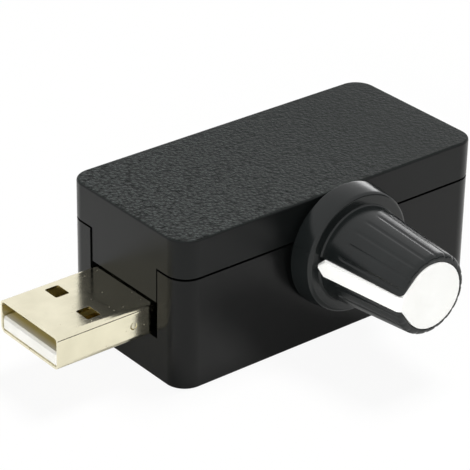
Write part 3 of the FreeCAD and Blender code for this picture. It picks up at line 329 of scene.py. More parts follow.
def sparkErodedCover():
    # black ABS with a spark-eroded top: coarse pebbles that catch the light, painted darker in their pits and
    # paler towards the plug's end, and plain satin sides
    look = coverLook
    material, tree = startMaterial("blackAbsSparkEroded")
    place = addNode(tree, "ShaderNodeTexCoord")
    here = place.outputs["Object"]
    facing = addNode(tree, "ShaderNodeSeparateXYZ", {"Vector": place.outputs["Normal"]})
    onTop = addNode(tree, "ShaderNodeMapRange", {
        "Value": facing.outputs["Z"], "From Min": look["topFrom"],
        "From Max": look["topFull"]}).outputs["Result"]
    wander = addNode(tree, "ShaderNodeTexNoise", {
        "Vector": here, "Scale": perGrain(look["wanderEvery"]), "Detail": 2.0})
    reach = look["wander"] * mm
    shifted = addNode(tree, "ShaderNodeVectorMath", {
        0: wander.outputs["Color"], 1: (reach, reach, reach), 2: here}, operation="MULTIPLY_ADD")
    pebble = addNode(tree, "ShaderNodeTexVoronoi", {
        "Vector": shifted.outputs["Vector"], "Scale": perGrain(look["pebble"]),
        "Smoothness": 0.6}, feature="SMOOTH_F1")
    wrinkle = addNode(tree, "ShaderNodeTexNoise", {
        "Vector": here, "Scale": perGrain(look["wrinkle"]), "Detail": 3.0, "Roughness": 0.6,
        "Distortion": 0.8})
    lumps = addNode(tree, "ShaderNodeMath", {
        0: pebble.outputs["Distance"], 1: wrinkle.outputs["Fac"]}, operation="SUBTRACT")
    # the grain stands high at the plug's end and is worn low towards the socket's
    along = addNode(tree, "ShaderNodeSeparateXYZ", {"Vector": here}).outputs["X"]
    plugEnd, wornEnd = coverLow.x * mm, look["wornFrom"] * mm
    wear = addNode(tree, "ShaderNodeMapRange", {
        "Value": along, "From Min": plugEnd, "From Max": wornEnd, "To Min": 1.0, "To Max": look["worn"]})
    kept = addNode(tree, "ShaderNodeMath", {0: wear.outputs["Result"], 1: onTop}, operation="MULTIPLY")
    shown = addNode(tree, "ShaderNodeMath", {
        0: lumps.outputs["Value"], 1: kept.outputs["Value"]}, operation="MULTIPLY").outputs["Value"]
    bump = addNode(tree, "ShaderNodeBump", {
        "Height": shown, "Strength": 1.0, "Distance": look["depth"] * mm}, invert=True)
    fine = addNode(tree, "ShaderNodeTexNoise", {
        "Vector": here, "Scale": perGrain(look["grain"]), "Detail": 3.0, "Roughness": 0.6})
    satin = addNode(tree, "ShaderNodeBump", {
        "Height": fine.outputs["Fac"], "Strength": 0.25, "Distance": look["grainDepth"] * mm,
        "Normal": bump.outputs["Normal"]})
    # painted light: the top is painted paler towards the plug's end, for the brighter light that falls there, and
    # the pale tone sits on the tops of the grain
    paintedLight = addNode(tree, "ShaderNodeMapRange", {
        "Value": along, "From Min": plugEnd, "From Max": wornEnd, "To Min": 1.0,
        "To Max": look["paintedLightLeast"]})
    paintedLightShare = addNode(tree, "ShaderNodeMath", {0: paintedLight.outputs["Result"], 1: onTop}, operation="MULTIPLY")
    paintedLightTone = addNode(tree, "ShaderNodeMix", {
        mixShare: paintedLightShare.outputs["Value"], mixFirst: colour(look["light"]),
        mixSecond: colour(look["rubbedAndPaintedLight"])}, data_type="RGBA")
    # painted shade and painted light: the lumps' low places take the dark colour and their high places the paler
    # one
    low = addNode(tree, "ShaderNodeMapRange", {
        "Value": shown, "From Min": -look["swing"], "From Max": look["swing"]})
    pitShadedTone = addNode(tree, "ShaderNodeMix", {
        mixShare: low.outputs["Result"], mixFirst: paintedLightTone.outputs[mixResult],
        mixSecond: colour(look["dark"])}, data_type="RGBA")
    tint = addNode(tree, "ShaderNodeMix", {
        mixShare: onTop, mixFirst: colour(look["flank"]),
        mixSecond: pitShadedTone.outputs[mixResult]}, data_type="RGBA")
    pitted = addNode(tree, "ShaderNodeMapRange", {
        "Value": shown, "From Min": -look["swing"], "From Max": look["swing"],
        "To Min": look["smooth"], "To Max": look["rough"]})
    gloss = addNode(tree, "ShaderNodeMapRange", {
        "Value": onTop, "To Min": look["side"], "To Max": pitted.outputs["Result"]})
    sheen = addNode(tree, "ShaderNodeMapRange", {
        "Value": onTop, "To Min": look["sideSheen"], "To Max": look["topSheen"]})
    shader = addNode(tree, "ShaderNodeBsdfPrincipled", {
        "Base Color": tint.outputs[mixResult], "Roughness": gloss.outputs["Result"],
        "Normal": satin.outputs["Normal"], "IOR": 1.53, "Specular IOR Level": sheen.outputs["Result"]})
    addNode(tree, "ShaderNodeOutputMaterial", {"Surface": shader.outputs["BSDF"]})
    return material


coverAbs = sparkErodedCover()

# The knob's ABS is polished a little more than the case's, so its edges draw thin lines of light
knobAbs = mouldedPlastic("blackAbsMouldPolished", {
    "dark": "#0f1212", "light": "#151818", "grain": 0.12, "flow": 7.0, "strength": 0.15, "depth": 0.015,
    "smooth": 0.18, "rough": 0.25, "ior": 1.53, "sheen": 0.33})

# White ABS for the pointer: bright and a little translucent, with a soft satin skin
capAbs = mouldedPlastic("whiteAbsMoulded", {
    "dark": "#f4f4f1", "light": "#fafaf8", "grain": 0.15, "flow": 6.0, "strength": 0.15, "depth": 0.01,
    "smooth": 0.36, "rough": 0.46, "ior": 1.53, "sheen": 0.5, "through": 0.15})

# White nylon insulators: milky, slightly waxy, with light passing a little way in
whiteNylon = mouldedPlastic("whiteNylonMoulded", {
    "dark": "#e8e6de", "light": "#f4f3ee", "grain": 0.12, "flow": 5.0, "strength": 0.15, "depth": 0.01,
    "smooth": 0.4, "rough": 0.5, "ior": 1.53, "sheen": 0.5, "through": 0.25})

# The plug's insulator: clean white at its face, with painted shade that turns it a deep cream a little way into
# the mouth, where the shell keeps the light out
paintedShadeStart, paintedShadeFull = plugLow.x + 0.1, plugLow.x + 1.3
plugNylon = mouldedPlastic("whiteNylonShadedInside", {
    "dark": "#dbdad3", "light": "#e6e5e0", "grain": 0.12, "flow": 5.0, "strength": 0.15, "depth": 0.01,
    "smooth": 0.4, "rough": 0.5, "ior": 1.53, "sheen": 0.5, "through": 0.1,
    "paintedShade": "#c0b070", "paintedShadeFrom": (paintedShadeStart, paintedShadeFull)})

# Black nylon: the rotor and the capacitors' bases, dull and even
blackNylon = mouldedPlastic("blackNylonMoulded", {
    "dark": "#171818", "light": "#1f2020", "grain": 0.1, "flow": 4.0, "strength": 0.2, "depth": 0.015,
    "smooth": 0.45, "rough": 0.6, "ior": 1.53, "sheen": 0.4})

# Phenolic board for the potentiometer's body: brown, pressed, with paper fibre mottling
brownPhenolic = mouldedPlastic("brownPhenolicPressed", {
    "dark": "#4a2c1a", "light": "#6b4326", "grain": 0.2, "flow": 1.5, "strength": 0.4, "depth": 0.02,
    "smooth": 0.4, "rough": 0.6, "ior": 1.6, "sheen": 0.5})

# Carbon film on the resistance track: matt, soft black, printed
carbonTrack = mouldedPlastic("carbonFilmPrinted", {
    "dark": "#101010", "light": "#1c1b1a", "grain": 0.08, "flow": 2.0, "strength": 0.3, "depth": 0.01,
    "smooth": 0.6, "rough": 0.75, "ior": 1.5, "sheen": 0.3})

# Epoxy mould compound of chips: charcoal grey with a matt, finely gritty skin
blackEpoxy = mouldedPlastic("blackEpoxyMoulded", {
    "dark": "#1e1f21", "light": "#2a2b2d", "grain": 0.07, "flow": 3.0, "strength": 0.5, "depth": 0.015,
    "smooth": 0.55, "rough": 0.7, "ior": 1.55, "sheen": 0.4})

# Fired ceramic of the chip capacitors: tan, hard and slightly glossy
tanCeramic = mouldedPlastic("tanCeramicFired", {
    "dark": "#a98458", "light": "#c09a6b", "grain": 0.08, "flow": 0.8, "strength": 0.2, "depth": 0.01,
    "smooth": 0.3, "rough": 0.4, "ior": 1.6, "sheen": 0.5})

# Nickel plated steel of the plug and the socket: warm silver, nearly a mirror, faintly rolled
nickelSteel = bareMetal("nickelPlatedSteelRolled", {
    "dark": "#e2dcc3", "light": "#efe9d0", "lie": (0.15, 1, 1), "streak": 0.25, "haze": 4.0,
    "speck": 0.7, "smooth": 0.1, "rough": 0.2, "strength": 0.15})

# Gold flash on the contacts: pale yellow over nickel
goldFlash = bareMetal("goldFlashPlated", {
    "dark": "#9c8648", "light": "#b8a263", "lie": (0.1, 1, 1), "streak": 0.1, "haze": 2.0, "speck": 0.8,
    "smooth": 0.15, "rough": 0.28, "strength": 0.2})

# Zinc plated steel of the frame, washer and nut: bluish silver with a soft haze
zincSteel = bareMetal("zincPlatedSteelStamped", {
    "dark": "#a9adb0", "light": "#c3c7c9", "lie": (1, 1, 0.3), "streak": 0.2, "haze": 1.5, "speck": 0.6,
    "smooth": 0.25, "rough": 0.42, "strength": 0.3})

# Die-cast zinc of the threaded bushing: greyer and grainier than the plated steel
zincCast = bareMetal("zincDieCast", {
    "dark": "#8f9293", "light": "#a9acac", "lie": (1, 1, 1), "streak": 0.15, "haze": 1.0, "speck": 0.4,
    "smooth": 0.35, "rough": 0.55, "strength": 0.5})

# Turned aluminium of the shaft: fine rings round its axis
turnedAluminium = bareMetal("aluminiumTurned", {
    "dark": "#b9bbbd", "light": "#d0d2d3", "lie": (0.2, 1, 0.2), "streak": 0.12, "haze": 2.0,
    "speck": 0.7, "smooth": 0.22, "rough": 0.38, "strength": 0.4})

# Spring bronze of the wiper: warm, cold rolled, rather smooth
springBronze = bareMetal("springBronzeRolled", {
    "dark": "#a9814b", "light": "#c49a60", "lie": (0.2, 1, 1), "streak": 0.1, "haze": 1.5, "speck": 0.7,
    "smooth": 0.2, "rough": 0.34, "strength": 0.3})

# Tinned lead-free solder finish of leads and end caps: bright grey with a slight ripple
tinnedLead = bareMetal("tinPlatedDipped", {
    "dark": "#b5b7b6", "light": "#d2d3d1", "lie": (1, 1, 1), "streak": 0.3, "haze": 0.8, "speck": 0.5,
    "smooth": 0.22, "rough": 0.4, "strength": 0.5})

# Drawn aluminium of the capacitor cans: light, with the drawing lines running up the side
drawnAluminium = bareMetal("aluminiumDrawn", {
    "dark": "#c0c2c4", "light": "#d9dadb", "lie": (1, 1, 0.1), "streak": 0.15, "haze": 3.0, "speck": 1.0,
    "smooth": 0.2, "rough": 0.32, "strength": 0.2})

boardLook = {
    "mask": "#0f4a2c",
    "track": "#1c6a41",
    "trackPitch": 1.1,
    "trackDepth": 0.03,
    "weave": 0.5,
    "weaveDepth": 0.01,
    "cloud": 3.0,
    "smooth": 0.22,
    "rough": 0.36,
}


def laminateBoard():
    # glass epoxy laminate under green solder mask: the weave as faint bump, lighter where copper runs
    look = boardLook
    material, tree = startMaterial("glassEpoxyLaminateMasked")
    here = addNode(tree, "ShaderNodeTexCoord").outputs["Object"]
    # four rows of tracks to one turn of the pattern
    runs = addNode(tree, "ShaderNodeTexBrick", {
        "Vector": here, "Scale": perGrain(look["trackPitch"] * 4), "Row Height": 0.25,
        "Mortar Size": 0.03, "Brick Width": 0.9, "Color1": (1, 1, 1, 1), "Color2": (0, 0, 0, 1),
        "Mortar": (0, 0, 0, 1)})
    weave = addNode(tree, "ShaderNodeTexChecker", {"Vector": here, "Scale": perGrain(look["weave"])})
    cloud = addNode(tree, "ShaderNodeTexNoise", {
        "Vector": here, "Scale": perGrain(look["cloud"]), "Detail": 3.0})
    tint = addNode(tree, "ShaderNodeMix", {
        mixShare: runs.outputs["Color"], mixFirst: colour(look["mask"]),
        mixSecond: colour(look["track"])}, data_type="RGBA")
    woven = addNode(tree, "ShaderNodeBump", {
        "Height": weave.outputs["Fac"], "Strength": 0.1, "Distance": look["weaveDepth"] * mm})
    raised = addNode(tree, "ShaderNodeBump", {
        "Height": runs.outputs["Color"], "Strength": 0.5, "Distance": look["trackDepth"] * mm,
        "Normal": woven.outputs["Normal"]})
    gloss = addNode(tree, "ShaderNodeMapRange", {
        "Value": cloud.outputs["Fac"], "From Min": noiseLow, "From Max": noiseHigh,
        "To Min": look["smooth"], "To Max": look["rough"]})
    shader = addNode(tree, "ShaderNodeBsdfPrincipled", {
        "Base Color": tint.outputs[mixResult], "Roughness": gloss.outputs["Result"],
        "Normal": raised.outputs["Normal"], "IOR": 1.55})
    addNode(tree, "ShaderNodeOutputMaterial", {"Surface": shader.outputs["BSDF"]})
    return material


slotMaterials = {
    "case_abs": caseAbs,
    "cover_abs": coverAbs,
    "knob_abs": knobAbs,
    "cap_abs": capAbs,
    "nickel_steel": nickelSteel,
    "white_nylon": whiteNylon,
    "gold_contact": goldFlash,
    "board_fr4": laminateBoard(),
    "zinc_steel": zincSteel,
    "zinc_diecast": zincCast,
    "shaft_aluminium": turnedAluminium,
    "brown_phenolic": brownPhenolic,
    "black_nylon": blackNylon,
    "spring_bronze": springBronze,
    "carbon_track": carbonTrack,
    "black_epoxy": blackEpoxy,
    "tan_ceramic": tanCeramic,
    "tinned_lead": tinnedLead,
    "can_aluminium": drawnAluminium,
}

for entry in frame["record"]["subparts"]:
    finish = frame["nodes"][entry["node"]].data.materials
    finish.clear()
    finish.append(slotMaterials[entry["material_slot"]])
frame["nodes"]["plug_insulator"].data.materials[0] = plugNylon
print("materials made:", len(slotMaterials) + 1)

# The two case shells share the outline and the places of the openings
caseSizes = {
    "corner": 2.8,
    "rim": 0.32,
    "wall": 1.6,
    "floor": 1.6,
    "roof": 1.6,
    "lip": 0.8,
    "lipGap": 0.1,
    "seamGap": 0.18,
    "rimDrop": 0.12,
    "ledgeDrop": 1.4,
    "notchHalf": 6.85,
    "notchDrop": 0.15,
    "tongueHalf": 6.5,
    "tongueSetback": 0.1,
    "tongueGap": 0.25,
    "slotRound": 3.6,
    "tabHalf": 3.48,
    "tongueRoot": 0.4,
    "post": 1.4,
    "postFoot": 1.0,
    "pin": 0.9,
    "pinRise": 0.4,
    "postInset": 4.0,
    "postBack": 7.9,
    "bead": 0.35,
    "beadGap": 0.1,
    "beadHalf": 4.0,
    "beadAcross": 14.0,
    "beadDrop": 0.7,
    "edge": 0.1,
    "cornerSteps": 12,
    "rimSteps": 4,
    "slotSteps": 64,
    "pinSteps": 36,
    "beadSteps": 24,
}
seam = caseHigh.z
ledge = seam - caseSizes["ledgeDrop"]
spigot = caseSizes["lip"] + caseSizes["lipGap"]
frontInside = caseLow.y + caseSizes["wall"]


def shellBlock(low, high, rimHeight):
    # a block with rounded upright corners and one rounded rim
    bm = block(low, high)
    upright = [edge for edge in bm.edges if runsAlong(edge, 2)]
    roundEdges(bm, upright, caseSizes["corner"], caseSizes["cornerSteps"])
    rim = [edge for edge in bm.edges
           if all(abs(corner.co.z - rimHeight) < close for corner in edge.verts)]
    roundEdges(bm, rim, caseSizes["rim"], caseSizes["rimSteps"])
    return bm


def beadRods(piece, radius, half, operation):
    # the four snap beads of the lid, or the four grooves that they click into
    for side in (-1, 1):
        for front in (-1, 1):
            middle = Vector((side * caseSizes["beadAcross"], front * (caseHigh.y - spigot),
                             seam - caseSizes["beadDrop"]))
            reach = Vector((half, 0, 0))
            bead = rod(radius, middle - reach, middle + reach, caseSizes["beadSteps"])
            carve(piece, bead, operation)


def makeCase():
    # the lower shell: an open box with a lip round its mouth, posts for the board, and the openings
    size = caseSizes
    rimHeight = seam - size["rimDrop"]
    bm = shellBlock(caseLow, (caseHigh.x, caseHigh.y, rimHeight), caseLow.z)
    step(bm, rimHeight, size["lip"], ledge - rimHeight)
    step(bm, ledge, size["wall"] - size["lip"], caseLow.z + size["floor"] - ledge)
    piece = toObject("bottomCase", bm)
    notchBottom = boardHigh.z - size["notchDrop"]
    carve(piece, block((caseLow.x - overshoot, -size["notchHalf"], notchBottom),
                       (caseHigh.x + overshoot, size["notchHalf"], coverHigh.z)))
    slotFront, slotRear = caseLow.y - overshoot, frontInside + overshoot
    carve(piece, rod(size["slotRound"], (knobAxis.x, slotFront, knobAxis.z),
                     (knobAxis.x, slotRear, knobAxis.z), size["slotSteps"]))
    carve(piece, block((knobAxis.x - size["slotRound"], slotFront, knobAxis.z),
                       (knobAxis.x + size["slotRound"], slotRear, coverHigh.z)))
    for side in (-1, 1):
        for front in (-1, 1):
            foot = Vector((side * (caseHigh.x - size["postInset"]), front * size["postBack"],
                           size["postFoot"]))
            top = foot.copy()
            top.z = boardLow.z
            carve(piece, rod(size["post"], foot, top), "UNION")
            top.z = boardHigh.z + size["pinRise"]
            carve(piece, rod(size["pin"], foot, top, size["pinSteps"]), "UNION")
    grooveRound, grooveHalf = size["bead"] + size["beadGap"], size["beadHalf"] + size["beadGap"]
    beadRods(piece, grooveRound, grooveHalf, "DIFFERENCE")
    dress(piece, "case", ["bottom_case"], caseAbs, size["edge"])


def makeCover():
    # the lid: its spigot stands inside the lip, a tongue closes each notch over the connectors,
    # and a tab closes the slot over the potentiometer's bushing
    size = caseSizes
    low = Vector((coverLow.x, coverLow.y, seam + size["seamGap"]))
    bm = shellBlock(low, coverHigh, coverHigh.z)
    step(bm, low.z, spigot, ledge - low.z)
    step(bm, ledge, size["wall"] - spigot, coverHigh.z - size["roof"] - ledge)
    piece = toObject("topCover", bm)
    tongueTop = low.z + size["tongueRoot"]
    tongueBottoms = {-1: plugHigh.z + size["tongueGap"], 1: socketTop + size["tongueGap"]}
    for side, bottom in tongueBottoms.items():
        across = sorted([side * (caseHigh.x - size["tongueSetback"]),
                         side * (caseHigh.x - size["wall"])])
        carve(piece, block((across[0], -size["tongueHalf"], bottom),
                           (across[1], size["tongueHalf"], tongueTop)), "UNION")
    carve(piece, block((knobAxis.x - size["tabHalf"], caseLow.y + size["tongueSetback"], ledge),
                       (knobAxis.x + size["tabHalf"], frontInside, tongueTop)), "UNION")
    beadRods(piece, size["bead"], size["beadHalf"], "UNION")
    carve(piece, rod(size["slotRound"], (knobAxis.x, caseLow.y - overshoot, knobAxis.z),
                     (knobAxis.x, frontInside + 2 * overshoot, knobAxis.z), size["slotSteps"]))
    dress(piece, "case", ["top_cover"], coverAbs, size["edge"])


makeCase()
makeCover()
print("case shells made")

plugSizes = {
    "height": 4.5,
    "sheet": 0.3,
    "corner": 0.75,
    "slit": 0.12,
    "slitDepth": 0.9,
    "windowInset": 5.4,
    "windowLength": 2.0,
    "windowMiddle": 3.25,
    "windowWidth": 2.5,
    "windowCorner": 0.25,
    "dimpleBack": 2.9,
    "dimple": 0.5,
    "tab": 0.42,
    "tabShift": 0.14,
    "tabSunk": 0.08,
    "lugLeft": -21.25,
    "lugRight": -19.85,
    "edge": 0.12,
    "cornerSteps": 6,
    "windowSteps": 4,
    "dimpleSteps": 32,
}


def makePlugShell():
    # the plug's folded steel box: two windows in each broad face, a slit where the fold meets,
    # a half-punched tab in each narrow face and a soldering lug at each side
    size = plugSizes
    low = Vector((plugLow.x, plugLow.y, plugHigh.z - size["height"]))
    middle = (low.z + plugHigh.z) / 2
    bm = block(low, plugHigh)
    folds = [edge for edge in bm.edges if runsAlong(edge, 0)]
    roundEdges(bm, folds, size["corner"], size["cornerSteps"])
    ends = flatFaces(bm, 0, low.x) + flatFaces(bm, 0, plugHigh.x)
    bmesh.ops.inset_region(bm, faces=ends, thickness=size["sheet"], use_even_offset=True)
    mouth = list({edge for face in ends for edge in face.edges})
    bmesh.ops.delete(bm, geom=ends, context="FACES_ONLY")
    bmesh.ops.bridge_loops(bm, edges=mouth)
    piece = toObject("plugShell", bm)
    start = low.x + size["windowInset"]
    for front in (-1, 1):
        across = front * size["windowMiddle"]
        half = size["windowWidth"] / 2
        window = block((start, across - half, low.z - overshoot),
                       (start + size["windowLength"], across + half, plugHigh.z + overshoot))
        upright = [edge for edge in window.edges if runsAlong(edge, 2)]
        roundEdges(window, upright, size["windowCorner"], size["windowSteps"])
        carve(piece, window)
    carve(piece, block((low.x - overshoot, -size["slit"] / 2, low.z - overshoot),
                       (plugHigh.x + overshoot, size["slit"] / 2, low.z + size["slitDepth"])))
    hole = caseLow.x - size["dimpleBack"]
    carve(piece, rod(size["dimple"], (hole, low.y - overshoot, middle),
                     (hole, plugHigh.y + overshoot, middle), size["dimpleSteps"]))
    tab = hole + size["tabShift"]
    for side in (-1, 1):
        outer = side * (plugHigh.y - size["tabSunk"])
        inner = side * (plugHigh.y - size["sheet"])
        carve(piece, rod(size["tab"], (tab, inner, middle), (tab, outer, middle), size["dimpleSteps"]),
              "UNION")
        sides = sorted([side * plugHigh.y, inner])
        carve(piece, block((size["lugLeft"], sides[0], plugLow.z), (size["lugRight"], sides[1], middle)),
              "UNION")
    dress(piece, "case", ["plug_shell"], nickelSteel, size["edge"])


makePlugShell()
print("plug made")

knobSizes = {
    "backGap": 0.5,
    "height": 16.4,
    "skirt": 3.2,
    "skirtBack": 8.35,
    "skirtFront": 7.95,
    "skirtRound": 0.45,
    "base": 6.35,
    "baseRound": 0.25,
    "end": 5.25,
    "rimRound": 0.55,
    "backRound": 0.2,
    "nutRecess": 6.07,
    "nutDepth": 2.0,
    "neck": 3.8,
    "neckDepth": 0.7,
    "bore": 3.02,
    "boreEnd": 15.5,
    "flutes": 20,
    "fluteHalf": 0.28,
    "fluteDepth": 0.09,
    "fluteStart": 2.7,
    "fluteFade": 0.4,
    "fluteClear": 0.2,
    "steps": 360,
    "rings": 34,
    "roundSteps": 6,
}
capSizes = {
    "round": 4.3,
    "depth": 1.0,
    "proud": 0.2,
    "gap": 0.05,
    "peg": 1.2,
    "pegLength": 0.9,
    "pegRise": 0.5,
    "armHalf": 0.9,
    "armSunk": 0.8,
    "armBase": 7.1,
    "armHeel": 0.5,
    "armEnd": 5.45,
    "armRoot": 0.3,
    "armRound": 0.55,
    "footChamfer": 0.8,
    "flare": 42.0,  # degrees
    "flareEnd": 4.9,
    "flareRound": 0.5,
    "discSteps": 72,
    "bendSteps": 6,
    "armSteps": 5,
    "cutLift": 0.01,
    "pointerTurn": 5.0,  # degrees
    "edge": 0.1,
    "edgeSteps": 3,
}
# the knob's heights count outwards from the front wall's inner face
knobBack = caseSizes["wall"] + knobSizes["backGap"]
skirtTop = knobBack + knobSizes["skirt"]
knobTop = knobBack + knobSizes["height"]
capFloor = knobTop - capSizes["depth"]
capTop = knobTop + capSizes["proud"]
knobPlace = (Matrix.Translation((knobAxis.x, frontInside, knobAxis.z))
             @ Matrix.Rotation(math.pi / 2, 4, "X")
             @ Matrix.Rotation(-math.radians(capSizes["pointerTurn"]), 4, "Z"))


def flareOutline(gap, reach, disc=True):
    # the pointer's plan: the disc, the flare that leaves it, and the arm's width up to its reach
    size = capSizes
    radius = size["round"] + gap
    half = size["armHalf"] + gap
    turn = math.radians(size["flare"])
    corners = [(0, 0)]
    if disc:
        first, count = math.pi - turn, size["discSteps"]
        angles = [first - 2 * first * number / count for number in range(1, count)]
        corners = [(radius * math.cos(angle), radius * math.sin(angle)) for angle in angles]
    root = (-radius * math.cos(turn), radius * math.sin(turn))
    inner = [(-size["flareEnd"], -half), (-size["flareEnd"], half)]
    bm = bmesh.new()
    verts = [bm.verts.new((across, up, 0)) for across, up in corners]
    verts.append(bm.verts.new((root[0], -root[1], 0)))
    bends = [bm.verts.new((across, up, 0)) for across, up in inner]
    ends = [bm.verts.new((-reach, up, 0)) for up in (-half, half)]
    verts += [bends[0], *ends, bends[1], bm.verts.new((*root, 0))]
    bm.faces.new(verts)
    roundCorners(bm, bends, size["flareRound"], size["bendSteps"])
    return bm


def raiseOutline(bm, low, high):
    # gives a flat outline its height
    bmesh.ops.translate(bm, vec=(0, 0, low), verts=bm.verts)
    made = bmesh.ops.extrude_face_region(bm, geom=list(bm.faces))["geom"]
    moved = [corner for corner in made if isinstance(corner, bmesh.types.BMVert)]
    bmesh.ops.translate(bm, vec=(0, 0, high - low), verts=moved)
    return bm


def armSide(corners, half):
    # a plate in the plane through the knob's axis and its pointer
    bm = bmesh.new()
    face = bm.faces.new([bm.verts.new((across, -half, height)) for across, height in corners])
    made = bmesh.ops.extrude_face_region(bm, geom=[face])["geom"]
    moved = [corner for corner in made if isinstance(corner, bmesh.types.BMVert)]
    bmesh.ops.translate(bm, vec=(0, 2 * half, 0), verts=moved)
    return bm


def fluteCut(place):
    # how deep a flute is at a point of the grip: a narrow round-bottomed groove that fades in
    size = knobSizes
    radius = math.hypot(place.x, place.y)
    pitch = 2 * math.pi / size["flutes"]
    angle = math.atan2(place.y, place.x)
    off = abs((angle + pitch / 2) % pitch - pitch / 2) * radius
    across = max(0.0, 1 - (off / size["fluteHalf"]) ** 2)
    start = skirtTop + size["fluteStart"]
    along = min(1.0, max(0.0, (place.z - start) / size["fluteFade"]))
    return size["fluteDepth"] * across * math.sqrt(along)


def makeKnob():
    # the knob: one section spun round the shaft, then the flutes, then the seat for the pointer
    size, cap = knobSizes, capSizes
    pegFloor = capFloor - cap["pegLength"] - cap["gap"]
    nutTop = knobBack + size["nutDepth"]
    profile = [
        (0, pegFloor), (cap["peg"] + cap["gap"], pegFloor), (cap["peg"] + cap["gap"], capFloor),
        (cap["round"] + cap["gap"], capFloor), (cap["round"] + cap["gap"], knobTop),
        (size["end"], knobTop), (size["base"], skirtTop),
        (size["skirtFront"], skirtTop), (size["skirtBack"], knobBack),
        (size["nutRecess"], knobBack), (size["nutRecess"], nutTop), (size["neck"], nutTop),
        (size["neck"], nutTop + size["neckDepth"]), (size["bore"], nutTop + size["neckDepth"]),
        (size["bore"], size["boreEnd"]), (0, size["boreEnd"]),
    ]
    bm = bmesh.new()
    verts = [bm.verts.new((across, 0, height)) for across, height in profile]
    bm.faces.new(verts)
    # the section's sixth to ninth corners are rounded
    rounds = {5: size["rimRound"], 6: size["baseRound"], 7: size["skirtRound"], 8: size["backRound"]}
    for number, radius in rounds.items():
        roundCorners(bm, [verts[number]], radius, size["roundSteps"])
    bmesh.ops.delete(bm, geom=list(bm.faces), context="FACES_ONLY")
    axisEdges = [edge for edge in bm.edges if all(corner.co.x < close for corner in edge.verts)]
    bmesh.ops.delete(bm, geom=axisEdges, context="EDGES")
    outside = [edge for edge in bm.edges if edge.verts[0].co.x > size["neck"]]
    grip = max(outside, key=lambda edge: edge.calc_length())
    bmesh.ops.subdivide_edges(bm, edges=[grip], cuts=size["rings"])
    bmesh.ops.spin(bm, geom=bm.verts[:] + bm.edges[:], cent=(0, 0, 0), axis=(0, 0, 1), dvec=(0, 0, 0),
                   angle=2 * math.pi, steps=size["steps"], use_merge=True, use_duplicate=False)
    bmesh.ops.remove_doubles(bm, verts=bm.verts, dist=close)
    for corner in bm.verts:
        radius = math.hypot(corner.co.x, corner.co.y)
        if radius > cap["round"] + size["fluteClear"] and corner.co.z > skirtTop + size["fluteStart"]:
            keep = (radius - fluteCut(corner.co)) / radius
            corner.co.x *= keep
            corner.co.y *= keep
    piece = toObject("knobBody", bm)
    # the cutters stop a hair over the floors they meet, so that no two faces lie in one plane
    lift, above = cap["cutLift"], capTop + overshoot
    flare = flareOutline(cap["gap"], cap["armEnd"] + 2 * overshoot, disc=False)
    carve(piece, raiseOutline(flare, capFloor + lift, above))
    inBase, inEnd = size["base"] - cap["armSunk"], size["end"] - cap["armSunk"]
    beyond = -size["skirtBack"] - overshoot
    carve(piece, armSide([
        (cap["gap"] - inBase, skirtTop + lift), (beyond, skirtTop + lift), (beyond, above),
        (cap["gap"] - inEnd, above)], cap["armHalf"] + cap["gap"]))
    piece.data.transform(knobPlace)
    dress(piece, "knob", ["knob_body"], knobAbs)


def makeCap():
    # the white pointer: a disc in the knob's end, a peg behind it and an arm down the knob's side
    size = capSizes
    inBase, inEnd = knobSizes["base"] - size["armSunk"], knobSizes["end"] - size["armSunk"]
    plate = raiseOutline(flareOutline(0.0, size["armEnd"] - size["armRound"]), capFloor, capTop)
    piece = toObject("knobCap", plate)
    heelTop = skirtTop + size["armHeel"]
    root = size["armRoot"] - size["round"]
    arm = armSide([
        (-inEnd, capFloor), (-inBase, skirtTop), (size["armHeel"] - size["armBase"], skirtTop),
        (-size["armBase"], heelTop), (-size["armEnd"], capTop), (root, capTop), (root, capFloor)],
        size["armHalf"])
    shoulder = [edge for edge in arm.edges
                if runsAlong(edge, 1) and abs(edge.verts[0].co.z - capTop) < close
                and abs(edge.verts[0].co.x + size["armEnd"]) < close]
    foot = [edge for edge in arm.edges
            if not runsAlong(edge, 1) and edge.verts[0].co.x < -inBase + close
            and all(corner.co.z < heelTop + close for corner in edge.verts)]
    roundEdges(arm, foot, size["footChamfer"], 1)  # one segment makes it a chamfer
    roundEdges(arm, [edge for edge in shoulder if edge.is_valid], size["armRound"], size["armSteps"])
    carve(piece, arm, "UNION")
    pegFoot, pegTop = capFloor - size["pegLength"], capFloor + size["pegRise"]
    carve(piece, rod(size["peg"], (0, 0, pegFoot), (0, 0, pegTop)), "UNION")
    piece.data.transform(knobPlace)
    dress(piece, "knob", ["knob_cap"], capAbs, size["edge"], size["edgeSteps"])


makeKnob()
makeCap()
print("knob and pointer made")

# lengths here are in metres, apart from the floor's drop
studio = {
    "glow": "#ffffff",
    "paper": "#f4f4f2",
    "floor": 1.6,
    "floorDrop": 0.03,  # millimetres
    "floorSeen": 0.92,
    "floorMirrored": 0.1,
    "ambient": 0.22,
    "key": {"at": (0.17, 0.0, 0.6), "size": 0.2, "power": 3.1, "mirrored": False},
    "fill": {"at": (-0.53, -0.37, 0.14), "size": 0.35, "power": 3.8, "mirrored": False},
    "edge": {"at": (0.75, 0.6, 0.12), "size": 0.3, "power": 0.7, "mirrored": True},
    "card": {"at": (0.5, -0.65, 0.08), "size": (1.3, 0.2), "felt": "#0c0c0c"},
}


def seenBy(tree, camera, mirrors):
    # one share for what the camera sees and one for what mirrors and clear plastic see,
    # and none for other light
    rays = addNode(tree, "ShaderNodeLightPath")
    bounced = addNode(tree, "ShaderNodeMath", {
        0: rays.outputs["Is Glossy Ray"], 1: rays.outputs["Is Transmission Ray"]}, operation="ADD",
        use_clamp=True)
    shared = addNode(tree, "ShaderNodeMath", {
        0: bounced.outputs["Value"], 1: mirrors}, operation="MULTIPLY")
    return addNode(tree, "ShaderNodeMath", {
        0: rays.outputs["Is Camera Ray"], 1: camera, 2: shared.outputs["Value"]},
        operation="MULTIPLY_ADD").outputs["Value"]


